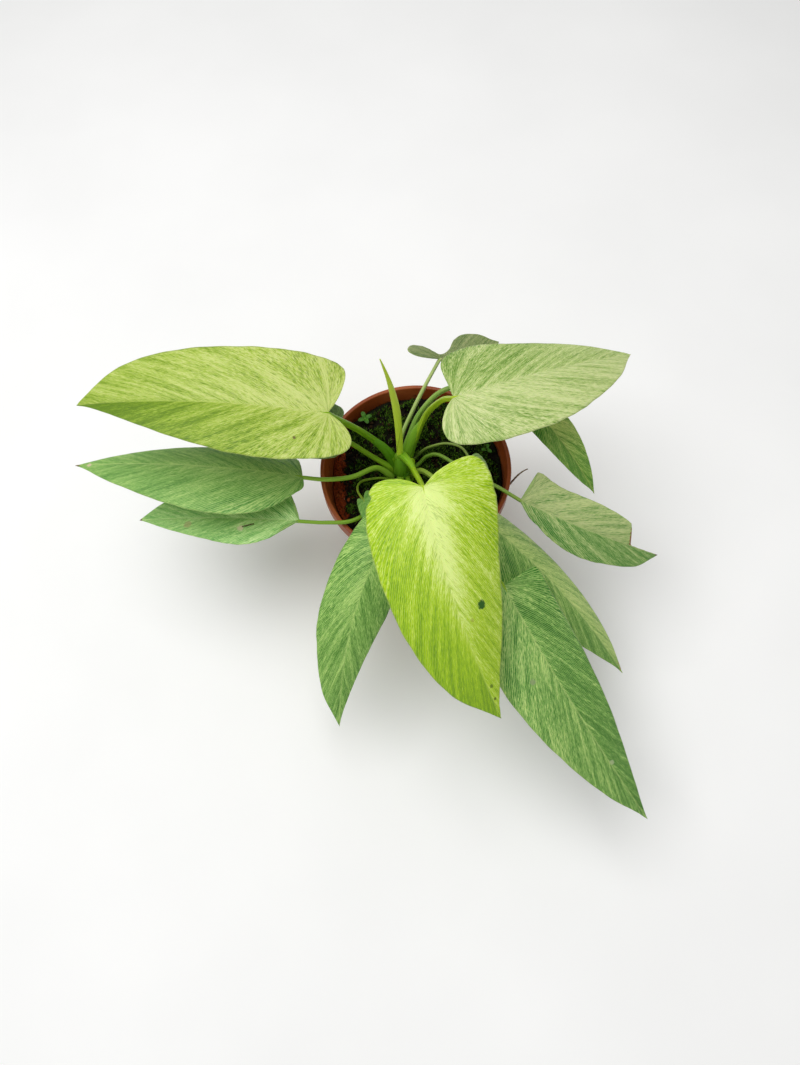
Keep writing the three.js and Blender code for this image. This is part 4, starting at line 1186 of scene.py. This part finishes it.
def mossAt(x, y):
    # where moss grows, from 0 to 1: in patches and tufts, little in the hollow at the left wall, less
    # at the back and the front, and most at the right
    patch = noise.noise(Vector((x * 0.06, y * 0.06, 3.1)))
    tuft = noise.noise(Vector((x * 0.17, y * 0.17, 7)))
    tuft += 0.6 * noise.noise(Vector((x * 0.4, y * 0.4, 2)))
    bare = 0.8 * ramp(x, -38, -46) + 0.3 * ramp(y, 18, 38)
    bare += 0.3 * ramp(y, -22, -34) - 0.5 * ramp(x, 32, 42)
    return min(max(0.5 + 1.2 * patch + 1.9 * tuft - bare, 0), 1)


def mixRadius(z):
    return innerRadius(z) - mix["clearance"]


def makeMix(material):
    bottom = pot["floor"] + mix["clearance"]
    outline = [(0, bottom), (mixRadius(bottom) - 1.8, bottom), (mixRadius(bottom + 3) - 0.1, bottom + 3)]
    edge = mixRadius(mix["level"] - mix["edgeDrop"])  # the upper face meets the wall about here
    side = [(mixRadius(z) - 0.3, z) for z in (60, 80)]
    top = [(edge * (k / mix["rings"]), mix["level"]) for k in range(mix["rings"], -1, -1)]
    mesh = turnedMesh("potting_mix_body", outline + side + top, mix["segments"])
    moss = [0.0] * len(mesh.vertices)
    for k, vertex in enumerate(mesh.vertices):
        x, y, z = [v / mm for v in vertex.co]
        if z > mix["upperFrom"]:
            moss[k] = mossAt(x, y)
            coarse = noise.fractal(Vector((x, y, 1)) * 0.26, 0.9, 2.1, 4)
            fine = noise.fractal(Vector((x, y, 9)) * 0.9, 0.8, 2.1, 3)
            rise = mix["lumps"] * coarse + mix["grain"] * fine + mix["mossRise"] * moss[k]
            z = mixHeight(x, y) + rise * min(1, (edge - math.hypot(x, y)) / 5 + 0.25)
            inward = min(1, (mixRadius(z) - 0.3) / max(math.hypot(x, y), 1))
            vertex.co = (x * inward * mm, y * inward * mm, z * mm)
    storeValues(mesh, "moss", moss)
    mesh.materials.append(material)
    return newObject("potting_mix_body", mesh)


# Potting mix: moist peat, bark and coir. Nearly black-brown and rough, partly its own colour when moist
# and partly painted shade from the leaves above, with a wet sheen in places; a thin film of green algae
# and moss lies over most of it.
def mixMaterial():
    material, tree = newMaterial("moistPeatMix")
    place = addNode(tree, "ShaderNodeTexCoord", {}, {}, 3)
    growth = addNode(tree, "ShaderNodeAttribute", {"attribute_name": "moss"}, {}, 2)
    grain = addNode(tree, "ShaderNodeTexNoise", {}, {
        "Vector": place, "Scale": 900, "Detail": 5, "Roughness": 0.65})
    clumps = addNode(tree, "ShaderNodeTexVoronoi", {}, {"Vector": place, "Scale": 520})
    soil, green, rust = [
        addNode(tree, "ShaderNodeValToRGB", {"stops": list(zip(places, mix[shades]))}, {0: grain})
        for shades, places in (
            ("soil", (0.3, 0.5, 0.64, 0.78)), ("algae", (0.3, 0.55, 0.8)), ("rust", (0.35, 0.55, 0.75)))]
    cover = addNode(tree, "ShaderNodeMath", {"operation": "MULTIPLY_ADD"}, {0: grain, 1: 0.9, 2: growth})
    cover = addNode(tree, "ShaderNodeMapRange", smoothStep, {
        0: cover, 1: 0.75, 2: 1.25, 3: 0.0, 4: 0.85})
    colour = addNode(tree, "ShaderNodeMix", colourMix, {0: cover, 6: soil, 7: green}, 2)
    # red-brown dried mix along the left wall, with a ragged edge
    aside = addNode(tree, "ShaderNodeSeparateXYZ", {}, {0: place}, 0)
    ragged = addNode(tree, "ShaderNodeTexNoise", {}, {"Vector": place, "Scale": 260, "Detail": 4})
    reach = addNode(tree, "ShaderNodeMath", {"operation": "MULTIPLY_ADD"}, {
        0: ragged, 1: 0.016, 2: aside})
    dried = addNode(tree, "ShaderNodeMapRange", smoothStep, {
        0: reach, 1: mix["dried"][0] * mm, 2: mix["dried"][1] * mm, 3: 0.95, 4: 0.0})
    colour = addNode(tree, "ShaderNodeMix", colourMix, {0: dried, 6: colour, 7: rust}, 2)
    wet = addNode(tree, "ShaderNodeMapRange", {}, {0: grain, 1: 0.35, 2: 0.65, 3: 0.6, 4: 0.95})
    height = addNode(tree, "ShaderNodeMath", {"operation": "ADD"}, {0: grain, 1: clumps})
    bump = addNode(tree, "ShaderNodeBump", {}, {"Strength": 0.8, "Distance": 0.0009, "Height": height})
    finishMaterial(tree, {
        "Base Color": colour, "Roughness": wet, "Normal": bump, "IOR": 1.4, "Specular IOR Level": 0.2})
    return material


# Loose bits: one material each, with a shade that changes from piece to piece
def bitMaterial(name, shades, roughness):
    material, tree = newMaterial(name)
    place = addNode(tree, "ShaderNodeTexCoord", {}, {}, 3)
    shade = addNode(tree, "ShaderNodeAttribute", {"attribute_name": "shade"}, {}, 2)
    grain = addNode(tree, "ShaderNodeTexNoise", {}, {"Vector": place, "Scale": 500, "Detail": 4})
    total = addNode(tree, "ShaderNodeMath", {"operation": "MULTIPLY_ADD"}, {0: grain, 1: 0.6, 2: shade})
    stops = [(min((0.3 + k / (len(shades) - 1)) / 1.3, 1), s) for k, s in enumerate(shades)]
    colour = addNode(tree, "ShaderNodeValToRGB", {"stops": stops}, {0: total})
    bump = addNode(tree, "ShaderNodeBump", {}, {"Strength": 0.6, "Distance": 0.0003, "Height": grain})
    finishMaterial(tree, {
        "Base Color": colour, "Roughness": roughness, "Normal": bump, "IOR": 1.4,
        "Specular IOR Level": 0.2})
    return material


# Scatter: bits strewn over the upper face of the mix, where the chosen attribute lets them lie
def scatterTree(name, sprig):
    tree, given = newTree(name, {
        "Density": "Float", "Seed": "Int", "Smallest": "Float", "Largest": "Float",
        "Mask": "String", "Material": "Material"})
    mask = addNode(tree, "GeometryNodeInputNamedAttribute", {"data_type": "FLOAT"}, {
        "Name": given["Mask"]})
    density = addNode(tree, "ShaderNodeMath", {"operation": "MULTIPLY"}, {0: mask, 1: given["Density"]})
    spread = addNode(tree, "GeometryNodeDistributePointsOnFaces", {"distribute_method": "RANDOM"}, {
        "Mesh": given["Geometry"], "Density": density, "Seed": given["Seed"]}).node.outputs
    if sprig:  # a slim upright cone, for moss
        shape = addNode(tree, "GeometryNodeMeshCone", {"fill_type": "NONE"}, {
            "Vertices": 3, "Radius Top": 0.02, "Radius Bottom": 0.17, "Depth": 1.0})
        tilt = addNode(tree, "FunctionNodeRandomValue", {"data_type": "FLOAT_VECTOR"}, {
            0: (-0.75, -0.75, 0), 1: (0.75, 0.75, 6.28), "Seed": given["Seed"]})
        form = addNode(tree, "FunctionNodeRandomValue", {"data_type": "FLOAT_VECTOR"}, {
            0: (0.7, 0.7, 0.7), 1: (1.3, 1.3, 1.2), "Seed": given["Seed"]})
    else:  # an uneven crumb
        shape = addNode(tree, "GeometryNodeMeshIcoSphere", {}, {"Radius": 0.5, "Subdivisions": 2})
        tilt = addNode(tree, "FunctionNodeRandomValue", {"data_type": "FLOAT_VECTOR"}, {
            0: (0, 0, 0), 1: (6.28, 6.28, 6.28), "Seed": given["Seed"]})
        form = addNode(tree, "FunctionNodeRandomValue", {"data_type": "FLOAT_VECTOR"}, {
            0: (0.6, 0.6, 0.5), 1: (1.5, 1.0, 0.9), "Seed": given["Seed"]})
    size = addNode(tree, "FunctionNodeRandomValue", {"data_type": "FLOAT"}, {
        2: given["Smallest"], 3: given["Largest"], "Seed": given["Seed"]}, 1)
    scale = addNode(tree, "ShaderNodeVectorMath", {"operation": "SCALE"}, {0: form, "Scale": size})
    turn = addNode(tree, "FunctionNodeEulerToRotation", {}, {0: tilt})
    strewn = addNode(tree, "GeometryNodeInstanceOnPoints", {}, {
        "Points": spread["Points"], "Instance": shape, "Rotation": turn, "Scale": scale})
    shade = addNode(tree, "FunctionNodeRandomValue", {"data_type": "FLOAT"}, {
        2: 0.0, 3: 1.0, "Seed": 3}, 1)
    strewn = addNode(tree, "GeometryNodeStoreNamedAttribute", {
        "data_type": "FLOAT", "domain": "INSTANCE"}, {
        "Geometry": strewn, "Name": "shade", "Value": shade})
    made = addNode(tree, "GeometryNodeRealizeInstances", {}, {"Geometry": strewn})
    if not sprig:  # dents, so that no crumb is a ball
        where = addNode(tree, "GeometryNodeInputPosition")
        dents = addNode(tree, "ShaderNodeTexNoise", {}, {
            "Vector": where, "Scale": 700, "Detail": 1}, 1)
        dents = addNode(tree, "ShaderNodeVectorMath", {"operation": "SUBTRACT"}, {
            0: dents, 1: (0.5,) * 3})
        dents = addNode(tree, "ShaderNodeVectorMath", {"operation": "SCALE"}, {
            0: dents, "Scale": 0.0012})
        made = addNode(tree, "GeometryNodeSetPosition", {}, {"Geometry": made, "Offset": dents})
    endTree(tree, made, given["Material"])
    return tree


def scatterHost(body, reach):
    # the upper face of the mix alone, with masks for where each kind of bit lies
    mesh = body.data.copy()
    solid = bmesh.new()
    solid.from_mesh(mesh)
    bmesh.ops.delete(solid, geom=[
        f for f in solid.faces if f.calc_center_median().z < 0.086
        or f.calc_center_median().xy.length > reach * mm or f.normal.z < 0.2], context="FACES")
    solid.to_mesh(mesh)
    solid.free()
    growth = np.zeros(len(mesh.vertices), np.float32)
    mesh.attributes["moss"].data.foreach_get("value", growth)
    x, y, _ = (np.array([v.co for v in mesh.vertices]).reshape(-1, 3) / mm).T
    clear = np.clip((np.hypot(x - crown["x"], y - crown["y"]) - 8) / 2, 0, 1)
    # little lies on the dried strip along the left wall, and clods lie beside it
    strip = 1 - 0.93 * np.clip((-44.5 - x) / 2.5, 0, 1)
    leftSide = np.clip((-38 - x) / 5, 0, 1) * np.clip((4 - y) / 10, 0.25, 1)
    storeValues(mesh, "bare", (1 - 0.75 * growth) * clear * strip)
    storeValues(mesh, "mossy", growth**1.5 * clear * strip)
    storeValues(mesh, "wallSide", leftSide * clear)
    storeValues(mesh, "any", clear)
    return mesh


bits = {
    # bark and peat crumbs, nearly black when moist, and darker still as painted shade from the leaves
    "mix_crumbs": {
        "density": 120000, "size": (0.7, 3.0), "mask": "bare", "seed": 6, "stuff": "barkCrumb",
        "shades": ("#060502", "#0d0b05", "#171208", "#30210f"), "roughness": 0.85,
    },
    # reddish clods that dried against the left wall
    "mix_clods": {
        "density": 22000, "size": (1.6, 3.6), "mask": "wallSide", "seed": 9, "stuff": "driedClod",
        "shades": ("#2e0f04", "#5a230a", "#85401c"), "roughness": 0.9,
    },
    # pale mineral grit
    "mix_grit": {
        "density": 6500, "size": (0.3, 0.7), "mask": "any", "seed": 14, "stuff": "pumiceGrit",
        "shades": ("#6f6a58", "#a09a86", "#c9c4b2"), "roughness": 0.9,
    },
    # moss shoots: matt leaflets one to three millimetres long
    "mix_moss": {
        "density": 3600000, "size": (0.9, 2.8), "mask": "mossy", "seed": 7, "stuff": "mossShoot",
        "shades": ("#070f02", "#0f2004", "#213c08", "#527619"), "roughness": 0.8,
    },
}
mixBody = makeMix(mixMaterial())
hostMesh = scatterHost(mixBody, 51.5)
crumbTree, mossTree = scatterTree("crumbScatter", False), scatterTree("mossScatter", True)
for label, bit in bits.items():
    host = newObject("strew", hostMesh.copy())
    smallest, largest = bit["size"]
    piece = runTree(host, mossTree if label == "mix_moss" else crumbTree, {
        "Density": float(bit["density"]), "Seed": bit["seed"], "Smallest": smallest * mm,
        "Largest": largest * mm, "Mask": bit["mask"],
        "Material": bitMaterial(bit["stuff"], bit["shades"], bit["roughness"])}, label)
    keepPiece(piece, "potting_mix", "potting_mix")
    print(label, len(piece.data.polygons), "faces")
keepPiece(mixBody, "potting_mix", "potting_mix")
print("potting mix made")


# Seedlings: two tiny weeds, one with four soft leaves and one with three
seedlings = {
    "seedling_back_left": {"x": -30, "y": 40, "height": 5, "leaf": 5, "count": 4, "turn": 20},
    "seedling_right": {"x": 47, "y": 13, "height": 3, "leaf": 4, "count": 3, "turn": 75},
}
sprig = {
    "arch": 0.8, "width": 0.3, "stem": 0.4, "stemSteps": 12, "sunk": 2.5,
    "blade": {"thickness": 0.3, "pleat": 1.6, "pleatDepth": 0.06, "ribGroove": 0.12, "ribWidth": 0.4},
    "shades": ("#1f440c", "#2c5a10", "#3e721a", "#538828"), "stemShades": ("#4c7a2a", "#6b9a3a"),
}


def joinPieces(pieces, name):
    with bpy.context.temp_override(active_object=pieces[0], selected_editable_objects=pieces):
        bpy.ops.object.join()
    pieces[0].name = name
    return pieces[0]


for seed, (name, values) in enumerate(seedlings.items()):
    x, y = values["x"], values["y"]
    top = mixHeight(x, y) + values["height"]
    look = {**plainLook, "shades": sprig["shades"], "creamAndFoldLight": (0.5, 0.5), "along": -0.2, "rib": 0.1}
    parts = []
    for i in range(values["count"]):
        a = math.radians(values["turn"] + 360 * i / values["count"])
        cosine, sine = math.cos(a), math.sin(a)
        leaf = {
            **plainLeaf, "base": (x + 0.2 * cosine, y + 0.2 * sine, top - 0.6),
            "tip": (x + values["leaf"] * cosine, y + values["leaf"] * sine, top + i % 2),
            "arch": sprig["arch"], "half": values["leaf"] * sprig["width"], "lobe": 0.02,
            "widest": 0.4, "full": 1.35, "fold": 12, "wave": 0, "grid": (26, 6),
        }
        if i == 0:
            skin = bladeMaterial("seedlingLeaf" + str(seed), leaf, look, bladeSkin, seed)
        parts.append(bladeObject(name + str(i), leaf, look, skin, {**bladeMesh, **sprig["blade"]}))
    foot, steps = mixHeight(x, y) - sprig["sunk"], sprig["stemSteps"]
    way = [(x + 0.15 * math.sin(z), y, z) for z in np.linspace(foot, top, steps)]
    skin = stalkMaterial("seedlingStem" + str(seed), *sprig["stemShades"], 3)
    parts.append(tubeObject(name + "Stem", way, [sprig["stem"]] * steps, skin, 8))
    keepPiece(joinPieces(parts, name + "_sprig"), "seedling", name)

# Dry stalk: the withered end of an old leaf stalk, hooked over the rim. Dead plant fibre: matt,
# grey-brown and wrinkled lengthwise.
dryStalk = {
    "path": [(56.3, -9.5, 84), (61.5, -10.5, 90), (62, -7.5, 99), (70.7, -5, 100)],
    "radii": [0.8, 0.7, 0.6, 0.35], "steps": 60, "sides": 12, "groove": 0.3, "wrinkles": (0.12, 47),
    "shades": ("#3d2c20", "#7a6048"), "roughness": 0.8,
}
share = np.linspace(0, 1, dryStalk["steps"])
way = bezier(dryStalk["path"], share)
depth, turns = dryStalk["wrinkles"]
girth = smoothRows([(r,) for r in dryStalk["radii"]], share)[:, 0] * (1 + depth * np.sin(share * turns))
skin = stalkMaterial("witheredStalk", *dryStalk["shades"], 5, dryStalk["roughness"])
piece = tubeObject("dry_stalk_tendril", way, girth, skin, dryStalk["sides"], dryStalk["groove"])
keepPiece(piece, "dry_stalk", "dry_stalk")
print("seedlings and dry stalk made")

# Floor and light: a pale floor just under the pot, one large soft lamp above it and an even sky
studio = {
    "floorShades": ("#f6f6f5", "#fbfbfa"), "floorSize": 3.0, "floorDrop": 0.0005,
    "sky": "#ffffff", "skyStrength": 0.47,
    "lamp": (-0.3, 0.05, 1.25), "lampAim": (-0.02, -0.06, 0.1), "lampSize": 1.1, "lampPower": 11.5,
}


def makeStudio(values):
    scene = bpy.context.scene
    scene.view_settings.view_transform = "Standard"
    world = bpy.data.worlds.new("studioSky")
    world.use_nodes = True
    background = world.node_tree.nodes["Background"]
    background.inputs[0].default_value = fromHex(values["sky"])
    background.inputs[1].default_value = values["skyStrength"]
    scene.world = world
    lamp = bpy.data.lights.new("softbox", "AREA")
    lamp.shape = "DISK"
    lamp.size = values["lampSize"]
    lamp.energy = values["lampPower"]
    holder = bpy.data.objects.new("softbox", lamp)
    holder.location = values["lamp"]
    toward = Vector(values["lampAim"]) - Vector(values["lamp"])
    holder.rotation_euler = toward.to_track_quat("-Z", "Y").to_euler()
    scene.collection.objects.link(holder)
    material, tree = newMaterial("paleStudioFloor")
    place = addNode(tree, "ShaderNodeTexCoord", {}, {}, 3)
    grain = addNode(tree, "ShaderNodeTexNoise", {}, {"Vector": place, "Scale": 6, "Detail": 3})
    colour = addNode(tree, "ShaderNodeValToRGB", {
        "stops": list(zip((0.3, 0.7), values["floorShades"]))}, {0: grain})
    finishMaterial(tree, {"Base Color": colour, "Roughness": 0.85})
    half = values["floorSize"]
    corners = [
        (x * half, y * half, -values["floorDrop"]) for x, y in ((-1, -1), (1, -1), (1, 1), (-1, 1))]
    floor = newObject("studio_floor", meshFrom("studio_floor", corners, [[0, 1, 2, 3]], material))


makeStudio(studio)
print("floor and light made")
